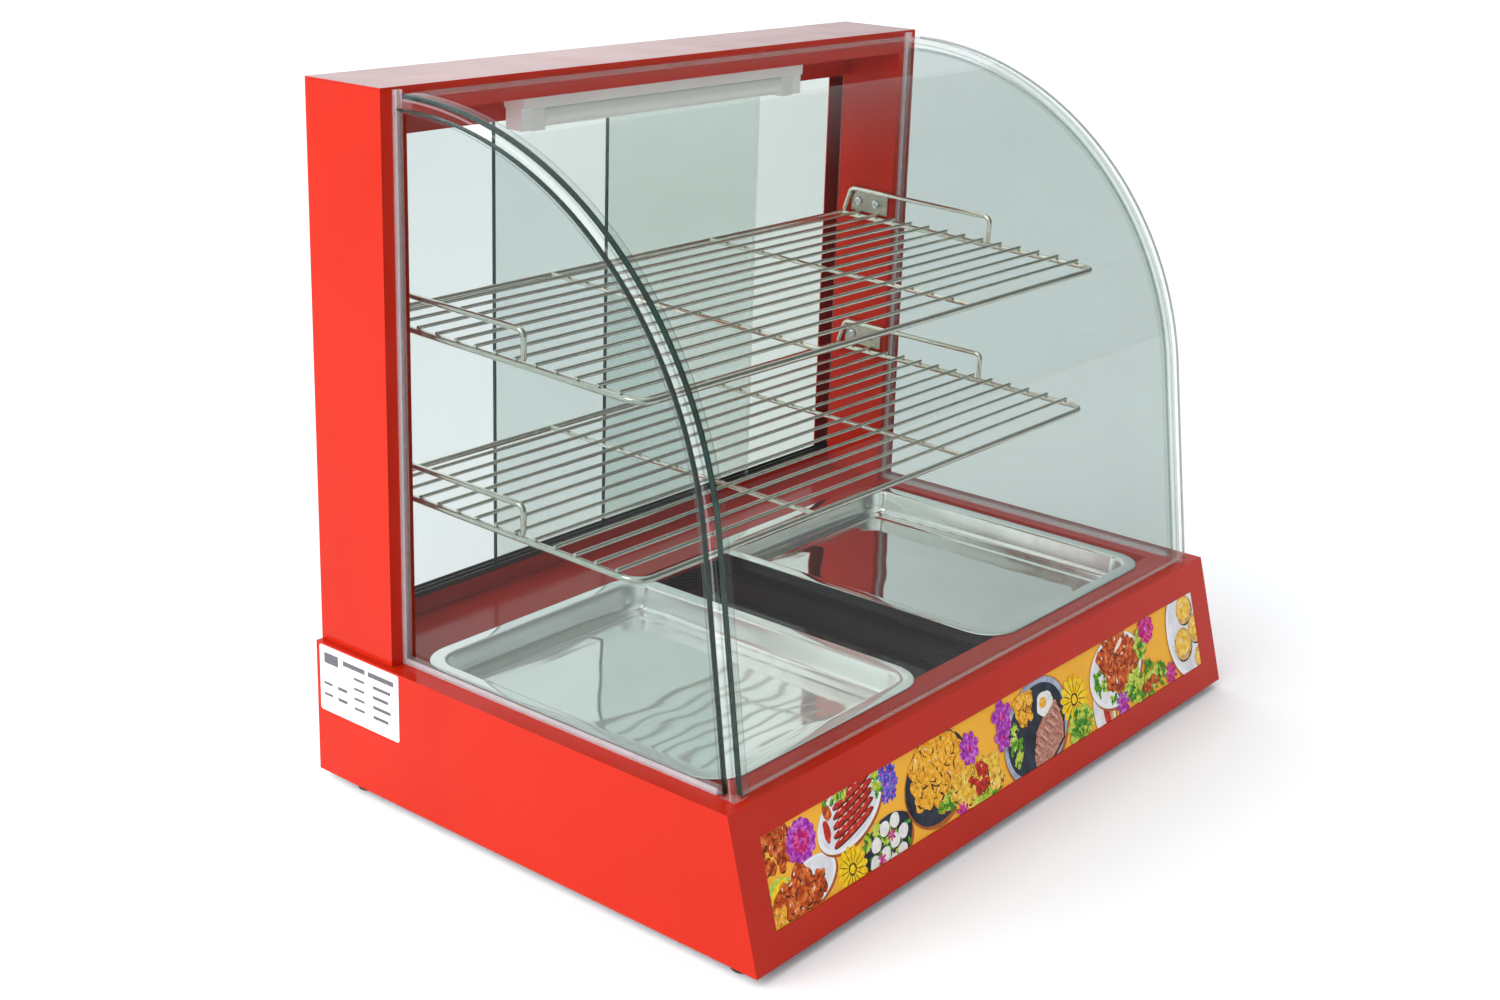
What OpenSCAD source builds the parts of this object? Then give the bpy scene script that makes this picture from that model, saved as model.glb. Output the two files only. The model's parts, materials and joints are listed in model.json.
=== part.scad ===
// Counter-top hot food display case: a red sheet-metal base with two trays in a heated
// well, two rear columns and a hood, a curved front glass between flat side glasses,
// two wire shelves, and two sliding glass doors at the back.

/* [Case] */
// Width of the base, left to right
case_w = 660; // [620:5:720]
// Depth of the base, front bottom edge to rear panel
case_d = 450; // [440:5:480]
// Height of the base box without its feet
base_h = 110; // [106:1:120]
// How far the front face leans back over its height
slope_run = 30; // [20:1:34]
// Height of the hood's top above the base's underside
case_h = 548; // [544:1:560]
// Height of the rubber feet
foot_h = 7; // [6:1:12]
// Thickness of the sheet metal
sheet_t = 1.2; // [1:0.1:1.5]

/* [Columns and hood] */
// How far the columns stand in from the base's sides
col_inset = 6; // [4:1:10]
// Width of a column, left to right
col_w = 24; // [24:1:30]
// Depth of the columns and of the hood
hood_d = 82; // [78:1:90]
// Height of the hood's front fascia
fascia_h = 20; // [18:1:22]
// Height of the header over the rear doors
header_h = 47; // [44:1:50]

/* [Glass] */
// Thickness of every pane
glass_t = 4; // [3:0.5:4]
// Outer radius of the front glass's bend
arc_r = 296; // [290:1:298]
// Lean of the front glass's straight lower part, in degrees
lean = 7.8; // [7:0.1:8]
// How far the upright clear channels stand out from the columns
channel_d = 4; // [3:0.5:8]
// Width of one sliding door
door_w = 331; // [330:1:340]
// Where the inner door's left edge stands at rest
door_inner_x = -152; // [-200:1:-140]

/* [Well and trays] */
// Distance from the base's front edge to the well
well_front = 66; // [64:1:70]
// Front to rear length of the well
well_l = 292; // [291:1:294]
// Width of one tray over its rim
tray_w = 248; // [236:1:250]
// Length of one tray over its rim, front to rear
tray_l = 308; // [304:1:308]
// Radius of the tray's rim corners
tray_r = 30; // [20:1:36]
// Width of the tray's flat rim
rim_w = 12; // [10:1:13]
// Middle of the left tray
tray_left_x = -180; // [-180:0.5:-176]
// Middle of the right tray
tray_right_x = 161.5; // [150:0.5:170]

/* [Shelves] */
// Height of the upper shelf's front bar above the base's underside
upper_z = 361; // [340:1:380]
// Height of the lower shelf's front bar above the base's underside
lower_z = 233; // [215:1:250]
// Fall of the upper shelf towards the front, in degrees
upper_tilt = 1.9; // [0:0.1:3]
// Fall of the lower shelf towards the front, in degrees
lower_tilt = 1.2; // [0:0.1:3]
// Distance from the base's front edge to the shelves' front bars
shelf_y = 142; // [130:1:150]
// Front to rear length of a shelf
shelf_l = 281; // [270:1:282]
// Number of gaps between the wires of a shelf
wire_gaps = 14; // [10:1:18]

/* [Controls] */
// Middle of the thermostat on the rear panel
stat_x = 170; // [160:1:200]
// Middle of the power switch on the rear panel
power_x = 60; // [50:1:70]
// Middle of the light switch on the rear panel
light_x = 100; // [96:1:110]
// Height of the controls above the base's underside
control_z = 62; // [55:1:70]

/* [Hidden] */
$fn = 64;

// Gap between pieces that lie against each other
gap = 0.1;
// Gap between a fixed piece and a moving one
run_gap = 0.3;
// Overlap that makes a cut go right through
cut = 1;

// The case across its width
half_w = case_w / 2;
col_out = half_w - col_inset;
col_in = col_out - col_w;
glass_out = col_out - 12;
glass_in = glass_out - glass_t;
front_half = glass_in - 2.5;
well_half = half_w - 34;

// The case from front to rear, measured from the base's front bottom edge
slope_a = atan(slope_run / base_h);
col_y = case_d - hood_d;
well_back = well_front + well_l;
door_inner_y = case_d - 16;
door_outer_y = case_d - 10;
col_rear_y = case_d - 19;
knob_reach = 21;
label_t = 0.3;

// Heights above the base's underside
sill_h = 14;
track_z = base_h + sill_h;
track_h = 4.5;
door_z = track_z + 2;
header_z = case_h - header_h;
door_top_z = header_z + 10;
fascia_z = case_h - fascia_h;

// Curve of the front glass: its centre, and where the straight lower part leaves the bend
arc_y = col_y - 12.5;
arc_z = case_h - 5 - arc_r;
glass_foot_z = base_h + 2;
glass_tail_y = col_y - 2;
// Side glass edge and sealing strip, measured inwards and outwards from the bend
side_drop = 10;
strip_out = 1.2;
strip_in = 12.5;
// Room between the side glass edge and the bottom of the strip's slot
slot_gap = 0.25;
side_foot_z = base_h + 1.6;

// Trays and the pan that lines the well
deck_z = base_h - 22;
lip_h = 12;
tray_t = 0.8;
tray_floor_z = deck_z + run_gap;
tray_rim_z = base_h + run_gap;
tray_left_y = 212.5;
tray_right_y = 212.5;

// Shelf rods
bar_r = 2.5;
wire_r = 1.5;
stay_r = 2;
rail_r = 2.25;
shelf_half = col_in - 4;
shelf_corner = 14;
stay_x = 100;
rail_h = 25.5;
rail_front = 114;
rail_rear = 272;
plate_t = 1.4;
plate_l = 42;
shelf_screw_y = [243.5, 264];
shelf_screw_z = 14;
shelf_screw_r = 2;

// Lamp under the hood
lamp_y = 392;
lamp_half = 172;
tube_half = 146;
tube_r = 8;
tube_z = fascia_z - 20;

// Heating elements under the deck
rod_r = 4;
rod_z = 78;
rod_span = 60;
rod_front = 130;
rod_rear = 372;

// Base parts
foot_x = half_w - 15;
foot_r = 9;
foot_front_y = 24;
foot_rear_y = case_d - 42;
gland_x = -270;
gland_z = 30;
lead_x = -(col_out - 12);
lead_y = 405;
lead_z = fascia_z + 10;
pivot_r = 1.2;
rocker_r = 11.2;
rocker_tilt = 8;

// Moves the case so that the middle of its footprint on the floor is the origin
module in_frame() {
    translate([label_t / 2, -(case_d + knob_reach) / 2, foot_h]) children();
}

// Both sides of a symmetrical pair
module both_sides() {
    children();
    mirror([1, 0, 0]) children();
}

// Flat outline with round corners, centred
module round_plate(w, l, r) {
    square([w - 2 * r, l], center = true);
    square([w, l - 2 * r], center = true);
    for (sx = [-1, 1], sy = [-1, 1])
        translate([sx * (w / 2 - r), sy * (l / 2 - r)]) circle(r = r);
}

// Straight round rod from a to b
module rod(a, b, r) {
    v = b - a;
    l = norm(v);
    translate(a) rotate([0, acos(v[2] / l), atan2(v[1], v[0])]) cylinder(h = l, r = r);
}

// Round lead through a list of points, a little thicker where it turns
module lead(points, r) {
    for (i = [0:len(points) - 2]) rod(points[i], points[i + 1], r);
    if (len(points) > 2)
        for (i = [1:len(points) - 2]) translate(points[i]) sphere(r = 1.1 * r);
}

// Extrudes a (front to rear, height) outline across the width
module across(x0, x1) {
    translate([x0, 0, 0]) rotate([90, 0, 90]) linear_extrude(x1 - x0) children();
}

// Frame of the leaning front face: Z runs up the face, Y runs inwards
module on_slope() {
    rotate([-slope_a, 0, 0]) children();
}

// ---- Base ----

module well_cut(z0, z1, grow) {
    translate([-well_half - grow, well_front - grow, z0])
        cube([2 * (well_half + grow), well_l + 2 * grow, z1 - z0]);
}

module rear_hole(x, z, r) {
    translate([x, case_d + cut, z]) rotate([90, 0, 0]) cylinder(h = sheet_t + 2 * cut, r = r);
}

module base_housing() {
    inset = sheet_t / cos(slope_a);
    in_frame() color([0.80, 0.08, 0.05]) difference() {
        union() {
            difference() {
                across(-half_w, half_w) polygon([[0, 0], [slope_run, base_h],
                    [case_d, base_h], [case_d, 0]]);
                across(-half_w + sheet_t, half_w - sheet_t) polygon([
                    [inset - cut * tan(slope_a), -cut],
                    [inset + (base_h - sheet_t) * tan(slope_a), base_h - sheet_t],
                    [case_d - sheet_t, base_h - sheet_t], [case_d - sheet_t, -cut]]);
            }
            difference() {
                well_cut(base_h - lip_h, base_h - sheet_t / 2, sheet_t);
                well_cut(base_h - lip_h - cut, base_h + cut, 0);
            }
        }
        well_cut(base_h - lip_h - cut, base_h + cut, 0);
        on_slope() translate([-window_half, -cut, window_z0])
            cube([2 * window_half, sheet_t + 2 * cut, window_z1 - window_z0]);
        rear_hole(stat_x, control_z, 5.3);
        rear_hole(pilot_x, control_z, 5.3);
        rear_hole(gland_x, gland_z, 8.2);
        for (x = [power_x, light_x])
            translate([x - 10.5, case_d - sheet_t - cut, control_z - 13.8])
                cube([21, sheet_t + 2 * cut, 27.6]);
        for (x = [-col_mid, col_mid], y = column_screw_y)
            translate([x, y, base_h - sheet_t - cut])
                cylinder(h = sheet_t + 2 * cut, r = column_screw_r + 0.2);
        translate([lead_x, lead_y, base_h - sheet_t - cut])
            cylinder(h = sheet_t + 2 * cut, r = 4);
    }
}

// Window for the printed panel in the front face, measured up the slope
window_half = 303;
window_z0 = 22.5;
window_z1 = 89.5;
pilot_x = 22;
col_mid = (col_out + col_in) / 2;
column_screw_y = [col_y + 14, col_y + 54];
column_screw_r = 2;

module base_bottom_plate() {
    reach = half_w - sheet_t - 0.3;
    in_frame() color([0.75, 0.75, 0.77]) difference() {
        translate([-reach, 2, 0]) cube([2 * reach, case_d - sheet_t - 2.3, sheet_t]);
        for (x = [-foot_x, foot_x], y = [foot_front_y, foot_rear_y])
            translate([x, y, -cut]) cylinder(h = sheet_t + 2 * cut, r = 2.2);
    }
}

module graphic_panel() {
    in_frame() color([0.90, 0.55, 0.20]) on_slope()
        translate([-window_half - 7, sheet_t + gap, window_z0 - 6])
            cube([2 * window_half + 14, 1.5, window_z1 - window_z0 + 12]);
}

module rating_label() {
    in_frame() color([0.95, 0.95, 0.95])
        translate([-half_w - label_t, case_d - 96, 53.5]) cube([label_t, 92, 55]);
}

module deck_plate() {
    clear = sheet_t + 0.3;
    flange = 8;
    in_frame() color([0.16, 0.14, 0.14]) difference() {
        union() {
            well_cut(deck_z - sheet_t, base_h - sheet_t - gap, clear + sheet_t);
            well_cut(base_h - 2 * sheet_t - gap, base_h - sheet_t - gap,
                clear + sheet_t + flange);
        }
        well_cut(deck_z, base_h, clear);
    }
}

module tray(x, y) {
    body_w = tray_w - 2 * rim_w;
    body_l = tray_l - 2 * rim_w;
    body_r = tray_r - rim_w;
    in_frame() color([0.80, 0.80, 0.78]) translate([x, y, 0]) {
        translate([0, 0, tray_floor_z]) linear_extrude(tray_t)
            round_plate(body_w, body_l, body_r);
        translate([0, 0, tray_floor_z]) linear_extrude(tray_rim_z - tray_floor_z + tray_t)
            difference() {
                round_plate(body_w, body_l, body_r);
                round_plate(body_w - 2 * tray_t, body_l - 2 * tray_t, body_r - tray_t);
            }
        translate([0, 0, tray_rim_z]) linear_extrude(tray_t)
            difference() {
                round_plate(tray_w, tray_l, tray_r);
                round_plate(body_w - tray_t, body_l - tray_t, body_r - tray_t / 2);
            }
    }
}

module tray_left() {
    tray(tray_left_x, tray_left_y);
}

module tray_right() {
    tray(tray_right_x, tray_right_y);
}

module at_feet() {
    for (x = [-foot_x, foot_x], y = [foot_front_y, foot_rear_y]) translate([x, y, 0]) children();
}

module rubber_feet() {
    in_frame() color([0.08, 0.08, 0.08]) at_feet() difference() {
        translate([0, 0, -foot_h]) cylinder(h = foot_h - 0.05, r = foot_r);
        translate([0, 0, -foot_h - cut]) cylinder(h = foot_h + 2 * cut, r = 2.2);
        translate([0, 0, -foot_h - cut]) cylinder(h = cut + foot_h / 2, r = 5);
    }
}

module foot_screws() {
    in_frame() color([0.70, 0.70, 0.72]) at_feet() {
        translate([0, 0, -foot_h / 2 - 2.5]) cylinder(h = 2.45, r = 3.8);
        translate([0, 0, -foot_h / 2 - 0.1]) cylinder(h = foot_h / 2 + 5, r = 2);
        translate([0, 0, sheet_t + gap]) cylinder(h = 3, r = 3.8, $fn = 6);
    }
}

// ---- Heating ----

module heating_element(x) {
    in_frame() color([0.45, 0.42, 0.40]) translate([x, 0, rod_z]) {
        for (sx = [-1, 1])
            rod([sx * rod_span, rod_front, 0], [sx * rod_span, rod_rear, 0], rod_r);
        translate([0, rod_front, 0]) rotate([0, 0, 180])
            rotate_extrude(angle = 180) translate([rod_span, 0]) circle(r = rod_r);
    }
}

module heating_element_left() {
    heating_element(tray_left_x);
}

module heating_element_right() {
    heating_element(tray_right_x);
}

module element_brackets() {
    strap_w = 12;
    strap_t = 1.5;
    reach = rod_span + 12;
    floor_z = rod_z - rod_r - strap_t - gap;
    in_frame() color([0.72, 0.72, 0.74])
        for (x = [tray_left_x, tray_right_x], y = [170, 300]) translate([x, y, floor_z]) {
            translate([-reach, 0, 0]) cube([2 * reach, strap_w, strap_t]);
            for (sx = [-1, 1]) translate([sx * reach - strap_t / 2, 0, 0])
                cube([strap_t, strap_w, deck_z - sheet_t - gap - floor_z]);
        }
}

module heat_shield() {
    shield_half = well_half - 10;
    shield_z = 56;
    in_frame() color([0.78, 0.78, 0.80]) translate([-shield_half, 80, 0]) {
        translate([0, 0, shield_z]) cube([2 * shield_half, 270, sheet_t]);
        for (x = [0, 2 * shield_half - sheet_t]) translate([x, 0, sheet_t + gap])
            cube([sheet_t, 270, shield_z - gap]);
    }
}

// ---- Controls on the rear panel ----

// Frame of a control: Y runs out of the rear panel from its outer face
module on_rear(x, z) {
    in_frame() translate([x, case_d, z]) children();
}

module out_cylinder(y0, y1, r) {
    translate([0, y1, 0]) rotate([90, 0, 0]) cylinder(h = y1 - y0, r = r);
}

module thermostat_body() {
    on_rear(stat_x, control_z) color([0.25, 0.25, 0.27]) difference() {
        union() {
            translate([-22, -42, -16]) cube([44, 38, 32]);
            out_cylinder(-5, 1.8, 5);
        }
        out_cylinder(-36, 3, 3.05);
    }
}

module thermostat_shaft() {
    on_rear(stat_x, control_z) color([0.75, 0.75, 0.75]) out_cylinder(-35, 14, 3);
}

module thermostat_knob() {
    on_rear(stat_x, control_z) color([0.06, 0.06, 0.06]) difference() {
        union() {
            out_cylinder(2.2, 6, 21);
            out_cylinder(5.5, knob_reach - 1, 15);
            translate([-3, 6, -15]) cube([6, knob_reach - 6, 30]);
        }
        out_cylinder(1, 14.5, 3.02);
    }
}

module thermostat_dial() {
    on_rear(stat_x, control_z) color([0.90, 0.90, 0.88]) difference() {
        out_cylinder(gap, 1, 30);
        out_cylinder(-cut, 2, 6);
    }
}

module thermostat_probe() {
    probe_x = 20;
    in_frame() color([0.72, 0.45, 0.25]) {
        rod([probe_x, 240, 81], [probe_x, 320, 81], 3);
        lead([[probe_x, 319, 81], [probe_x, 380, 81], [probe_x + 60, 395, 81],
            [stat_x, 395, 70], [stat_x, case_d - 42 - gap, 70]], 0.9);
    }
}

module switch_body(x) {
    on_rear(x, control_z) color([0.05, 0.05, 0.05]) difference() {
        union() {
            translate([-10.3, -22, -13.6]) cube([20.6, 22.2, 27.2]);
            translate([-12, gap, -15.5]) cube([24, 2 - gap, 31]);
        }
        translate([-8.2, -12.4, -11.6]) cube([16.4, 16, 23.2]);
        rotate([0, 90, 0]) translate([0, 0, -9.4]) cylinder(h = 18.8, r = pivot_r + 0.06);
    }
}

module switch_rocker(x, shade) {
    on_rear(x, control_z) color(shade) rotate([-rocker_tilt, 0, 0]) {
        difference() {
            rotate([0, 90, 0]) translate([0, 0, -7.8]) cylinder(h = 15.6, r = rocker_r);
            translate([-10, 3.5, -20]) cube([20, 20, 40]);
            translate([-10, -26, -20]) cube([20, 20, 40]);
        }
        rotate([0, 90, 0]) translate([0, 0, -9]) cylinder(h = 18, r = pivot_r);
    }
}

module power_switch_body() {
    switch_body(power_x);
}

module power_switch_rocker() {
    switch_rocker(power_x, [0.10, 0.55, 0.15]);
}

module light_switch_body() {
    switch_body(light_x);
}

module light_switch_rocker() {
    switch_rocker(light_x, [0.75, 0.08, 0.06]);
}

module pilot_lamp() {
    on_rear(pilot_x, control_z) color([0.95, 0.55, 0.10]) {
        out_cylinder(-18, 0.2, 5.1);
        out_cylinder(gap, 2, 7);
        translate([0, 1.6, 0]) intersection() {
            sphere(r = 5);
            translate([-6, 0, -6]) cube([12, 6, 12]);
        }
    }
}

module cable_gland() {
    on_rear(gland_x, gland_z) color([0.05, 0.05, 0.05]) difference() {
        union() {
            out_cylinder(-14, 0.2, 8);
            out_cylinder(gap, 5, 12);
            translate([0, -sheet_t - gap, 0]) rotate([90, 0, 0]) cylinder(h = 6, r = 12, $fn = 6);
        }
        out_cylinder(-15, 6, 4);
    }
}

module terminal_block() {
    in_frame() color([0.93, 0.93, 0.88]) translate([-240, 410, sheet_t + gap]) {
        cube([60, 20, 10]);
        for (i = [0:4]) translate([2 + i * 11.5, 3, 9]) cube([9.5, 14, 8]);
    }
}

module ballast() {
    in_frame() color([0.80, 0.80, 0.82]) translate([-150, 392, sheet_t + gap]) {
        cube([120, 42, 2]);
        translate([10, 1, 1.5]) cube([100, 40, 26]);
    }
}

module starter() {
    in_frame() color([0.90, 0.90, 0.85]) translate([-5, 412, sheet_t + gap]) {
        translate([-15, -15, 0]) cube([30, 30, 6]);
        translate([0, 0, 5]) cylinder(h = 32, r = 10.5);
    }
}

module internal_wiring() {
    r = 1.3;
    in_frame() color([0.15, 0.25, 0.60]) {
        lead([[-178.5, 420, 8], [-168, 420, 46], [power_x, 416, 60], [power_x, 427.8, 60]], r);
        lead([[power_x + 6, 427.8, 66], [power_x + 6, 417, 72], [140, 420, 74],
            [stat_x - 22.1, 420, 74]], r);
        lead([[stat_x, case_d - 42.2, 50], [stat_x, 392, 56],
            [tray_right_x + rod_span, 384, rod_z], [tray_right_x + rod_span, 373.8, rod_z]], r);
        lead([[tray_right_x - rod_span, 373.8, rod_z], [tray_right_x - rod_span, 382, rod_z],
            [tray_left_x + rod_span, 382, rod_z], [tray_left_x + rod_span, 373.8, rod_z]], r);
        lead([[-210, 408.5, 8], [-210, 395, 40], [tray_left_x - rod_span, 384, rod_z],
            [tray_left_x - rod_span, 373.8, rod_z]], r);
        lead([[-100, 412, 29], [-100, 408, 62], [lead_x, lead_y, 80],
            [lead_x, lead_y, lead_z], [-150, lead_y, lead_z],
            [-150, lamp_y, lead_z - 2], [-150, lamp_y, fascia_z]], r);
    }
}

// ---- Columns, hood and rear frame ----

module column() {
    top = case_h - sheet_t - gap - base_h - gap;
    translate([0, 0, base_h + gap]) difference() {
        union() {
            translate([col_out - sheet_t, col_y, 0]) cube([sheet_t, hood_d, top]);
            translate([col_in, col_y, 0]) cube([col_w, sheet_t, top]);
            translate([col_in, col_y, 0]) cube([sheet_t, col_rear_y - col_y, top]);
            translate([col_in + 2, case_d - sheet_t, 0]) cube([col_w - 2, sheet_t, top]);
            translate([col_in, col_y, 0]) cube([col_w, col_rear_y - col_y, sheet_t]);
        }
        for (y = column_screw_y) translate([col_mid, y, -cut])
            cylinder(h = sheet_t + 2 * cut, r = column_screw_r + 0.2);
        translate([-lead_x, lead_y, -cut]) cylinder(h = sheet_t + 2 * cut, r = 4);
        translate([col_in - cut, lead_y, lead_z - base_h]) rotate([0, 90, 0])
            cylinder(h = sheet_t + 2 * cut, r = 4);
        for (y = hood_screw_y) translate([col_in - cut, y, hood_screw_z - base_h])
            rotate([0, 90, 0]) cylinder(h = sheet_t + 2 * cut, r = 2.2);
    }
}

hood_screw_y = [378, 420];
hood_screw_z = fascia_z + 8;

module right_column() {
    in_frame() color([0.80, 0.08, 0.05]) difference() {
        column();
        shelf_holes();
    }
}

module left_column() {
    in_frame() color([0.80, 0.08, 0.05]) mirror([1, 0, 0]) difference() {
        column();
        shelf_holes();
    }
}

module column_screws() {
    in_frame() color([0.72, 0.72, 0.74]) both_sides() for (y = column_screw_y)
        translate([col_mid, y, 0]) {
            translate([0, 0, base_h - sheet_t - gap - 2.4]) cylinder(h = 2.4, r = 3.8);
            translate([0, 0, base_h - sheet_t - 1]) cylinder(h = 8, r = column_screw_r);
        }
}

module top_hood() {
    span = col_in - gap;
    inner_y = case_d - 22;
    in_frame() color([0.80, 0.08, 0.05]) difference() {
        union() {
            translate([-col_out, col_y, case_h - sheet_t]) cube([2 * col_out, hood_d, sheet_t]);
            translate([-span, col_y, fascia_z]) cube([2 * span, sheet_t, fascia_h]);
            translate([-span, col_y, fascia_z]) cube([2 * span, inner_y - col_y, sheet_t]);
            translate([-span, inner_y, header_z]) cube([2 * span, sheet_t, fascia_z - header_z
                + sheet_t]);
            translate([-span, inner_y, header_z]) cube([2 * span, 3.5, sheet_t]);
            translate([-span, case_d - sheet_t, header_z]) cube([2 * span, sheet_t, header_h]);
            for (x = [-span, span - sheet_t]) translate([x, col_y, fascia_z])
                cube([sheet_t, inner_y - col_y, fascia_h]);
        }
        for (x = [-span - cut, span - sheet_t - cut]) {
            for (y = hood_screw_y) translate([x, y, hood_screw_z])
                rotate([0, 90, 0]) cylinder(h = sheet_t + 2 * cut, r = 2.2);
            translate([x, lead_y, lead_z]) rotate([0, 90, 0])
                cylinder(h = sheet_t + 2 * cut, r = 4);
        }
        translate([-150, lamp_y, fascia_z - cut]) cylinder(h = sheet_t + 2 * cut, r = 4);
    }
}

module hood_screws() {
    head_x = col_in - gap - sheet_t - gap;
    in_frame() color([0.72, 0.72, 0.74]) both_sides() for (y = hood_screw_y)
        translate([0, y, hood_screw_z]) rotate([0, 90, 0]) {
            translate([0, 0, head_x - 2.4]) cylinder(h = 2.4, r = 3.8);
            translate([0, 0, head_x - 0.2]) cylinder(h = 8, r = 2);
        }
}

module rear_sill() {
    reach = col_out - sheet_t - 0.5;
    in_frame() color([0.75, 0.07, 0.05]) difference() {
        translate([-reach, case_d - 18.6, base_h + gap]) cube([2 * reach, 17, sill_h - 2 * gap]);
        translate([-reach - cut, case_d - 18.6 + sheet_t, base_h])
            cube([2 * (reach + cut), 17 - 2 * sheet_t, sill_h - gap - sheet_t]);
    }
}

module door_slots(z0, z1) {
    for (y = [door_inner_y, door_outer_y]) translate([-case_w, y - 0.4, z0])
        cube([2 * case_w, glass_t + 0.8, z1 - z0]);
}

module door_track_top() {
    reach = col_out - sheet_t - 0.5;
    in_frame() color([0.10, 0.12, 0.11]) difference() {
        translate([-reach, door_inner_y - 1.6, header_z + 2])
            cube([2 * reach, 13.2, 13]);
        door_slots(header_z, door_top_z + 1.5);
    }
}

module door_track_bottom() {
    reach = col_out - sheet_t - 0.5;
    in_frame() color([0.10, 0.12, 0.11]) difference() {
        translate([-reach, door_inner_y - 1.6, track_z]) cube([2 * reach, 13.2, track_h]);
        door_slots(door_z - run_gap, track_z + track_h + cut);
    }
}

module door(x, y) {
    in_frame() color([0.75, 0.85, 0.80, 0.4]) translate([x, y, door_z])
        cube([door_w, glass_t, door_top_z - door_z]);
}

module rear_door_inner() {
    door(door_inner_x, door_inner_y);
}

module rear_door_outer() {
    door(col_out - 8 - door_w, door_outer_y);
}

// ---- Glass and its clear plastic profiles ----

// Area behind the curve of radius r: the bend, the straight part below it and the inside
module behind_curve(r, foot_z, back_y) {
    touch_y = arc_y - r * cos(lean);
    touch_z = arc_z + r * sin(lean);
    foot_y = touch_y - (touch_z - foot_z) * tan(lean);
    polygon([[touch_y, touch_z], [foot_y, foot_z], [back_y, foot_z], [back_y, touch_z]]);
    intersection() {
        translate([arc_y, arc_z]) circle(r = r, $fn = 180);
        translate([touch_y - cut, touch_z]) square([back_y - touch_y + cut, case_h]);
    }
}

// Band between two curves
module curve_band(r0, r1, foot_z, back_y) {
    difference() {
        behind_curve(r1, foot_z, back_y);
        behind_curve(r0, foot_z - cut, back_y + cut);
    }
}

module front_glass() {
    in_frame() color([0.78, 0.88, 0.84, 0.35]) across(-front_half, front_half)
        curve_band(arc_r - glass_t, arc_r, glass_foot_z, glass_tail_y);
}

module side_glass() {
    across(glass_in, glass_out) behind_curve(arc_r - side_drop, side_foot_z, col_y - 2);
}

module side_glass_right() {
    in_frame() color([0.78, 0.88, 0.84, 0.35]) side_glass();
}

module side_glass_left() {
    in_frame() color([0.78, 0.88, 0.84, 0.35]) mirror([1, 0, 0]) side_glass();
}

// Clear strip that joins the edge of the front glass to the edge of the side glass
module edge_strip() {
    x0 = front_half - 6;
    foot_z = base_h + 0.2;
    inner_lip_r = arc_r - glass_t - gap - 1.2;
    difference() {
        across(x0, glass_out + 2)
            curve_band(arc_r - strip_in, arc_r + strip_out, foot_z, col_y - 12 - gap);
        across(x0 - cut, front_half + gap)
            curve_band(arc_r - glass_t - gap, arc_r + gap, foot_z - cut, col_y);
        across(x0 - cut, front_half + gap) behind_curve(inner_lip_r, foot_z - cut, col_y);
        across(glass_in - gap, glass_out + gap)
            behind_curve(arc_r - side_drop + slot_gap, foot_z - cut, col_y);
    }
}

module glass_edge_strip_right() {
    in_frame() color([0.90, 0.92, 0.93, 0.6]) edge_strip();
}

module glass_edge_strip_left() {
    in_frame() color([0.90, 0.92, 0.93, 0.6]) mirror([1, 0, 0]) edge_strip();
}

// Upright clear channel on the column's front face, for the side glass's rear edge
module column_channel() {
    translate([glass_in - 1, col_y - channel_d, base_h + gap]) difference() {
        cube([glass_t + 2, channel_d - gap, case_h - 2 - base_h]);
        translate([1 - gap, -cut, -cut]) cube([glass_t + 2 * gap, channel_d + cut - 1.8, case_h]);
    }
}

module column_channel_right() {
    in_frame() color([0.90, 0.92, 0.93, 0.6]) column_channel();
}

module column_channel_left() {
    in_frame() color([0.90, 0.92, 0.93, 0.6]) mirror([1, 0, 0]) column_channel();
}

// Clear channel on the ledge, for the side glass's lower edge
module side_channel() {
    y0 = 54;
    length = col_y - channel_d - gap - y0;
    translate([glass_in - 1, y0, base_h + gap]) difference() {
        cube([glass_t + 2, length, 5]);
        translate([1 - gap, -cut, 1.3]) cube([glass_t + 2 * gap, length + 2 * cut, 6]);
    }
}

module side_channel_right() {
    in_frame() color([0.90, 0.92, 0.93, 0.6]) side_channel();
}

module side_channel_left() {
    in_frame() color([0.90, 0.92, 0.93, 0.6]) mirror([1, 0, 0]) side_channel();
}

module front_bottom_channel() {
    foot_y = arc_y - arc_r * cos(lean) - (arc_z + arc_r * sin(lean) - glass_foot_z) * tan(lean);
    reach = front_half - 7;
    in_frame() color([0.90, 0.92, 0.93, 0.6]) difference() {
        translate([-reach, foot_y - 1.8, base_h + gap]) cube([2 * reach, glass_t + 5, 7]);
        across(-half_w, half_w)
            curve_band(arc_r - glass_t - gap, arc_r + gap, base_h + 1.8, col_y);
    }
}

module front_top_channel() {
    in_frame() color([0.90, 0.92, 0.93, 0.6]) difference() {
        translate([-front_half + 7, col_y - 10, case_h - 11.5])
            cube([2 * front_half - 14, 10 - gap, 9]);
        translate([-case_w, col_y - 10 - cut, case_h - 9.6])
            cube([2 * case_w, 8.2 + cut, glass_t + 0.8]);
    }
}

// ---- Shelves ----

// Frame of a shelf: Y runs to the rear from its front bar, Z is square to its wires
module shelf_place(z, tilt) {
    translate([0, shelf_y, z]) rotate([tilt, 0, 0]) children();
}

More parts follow.
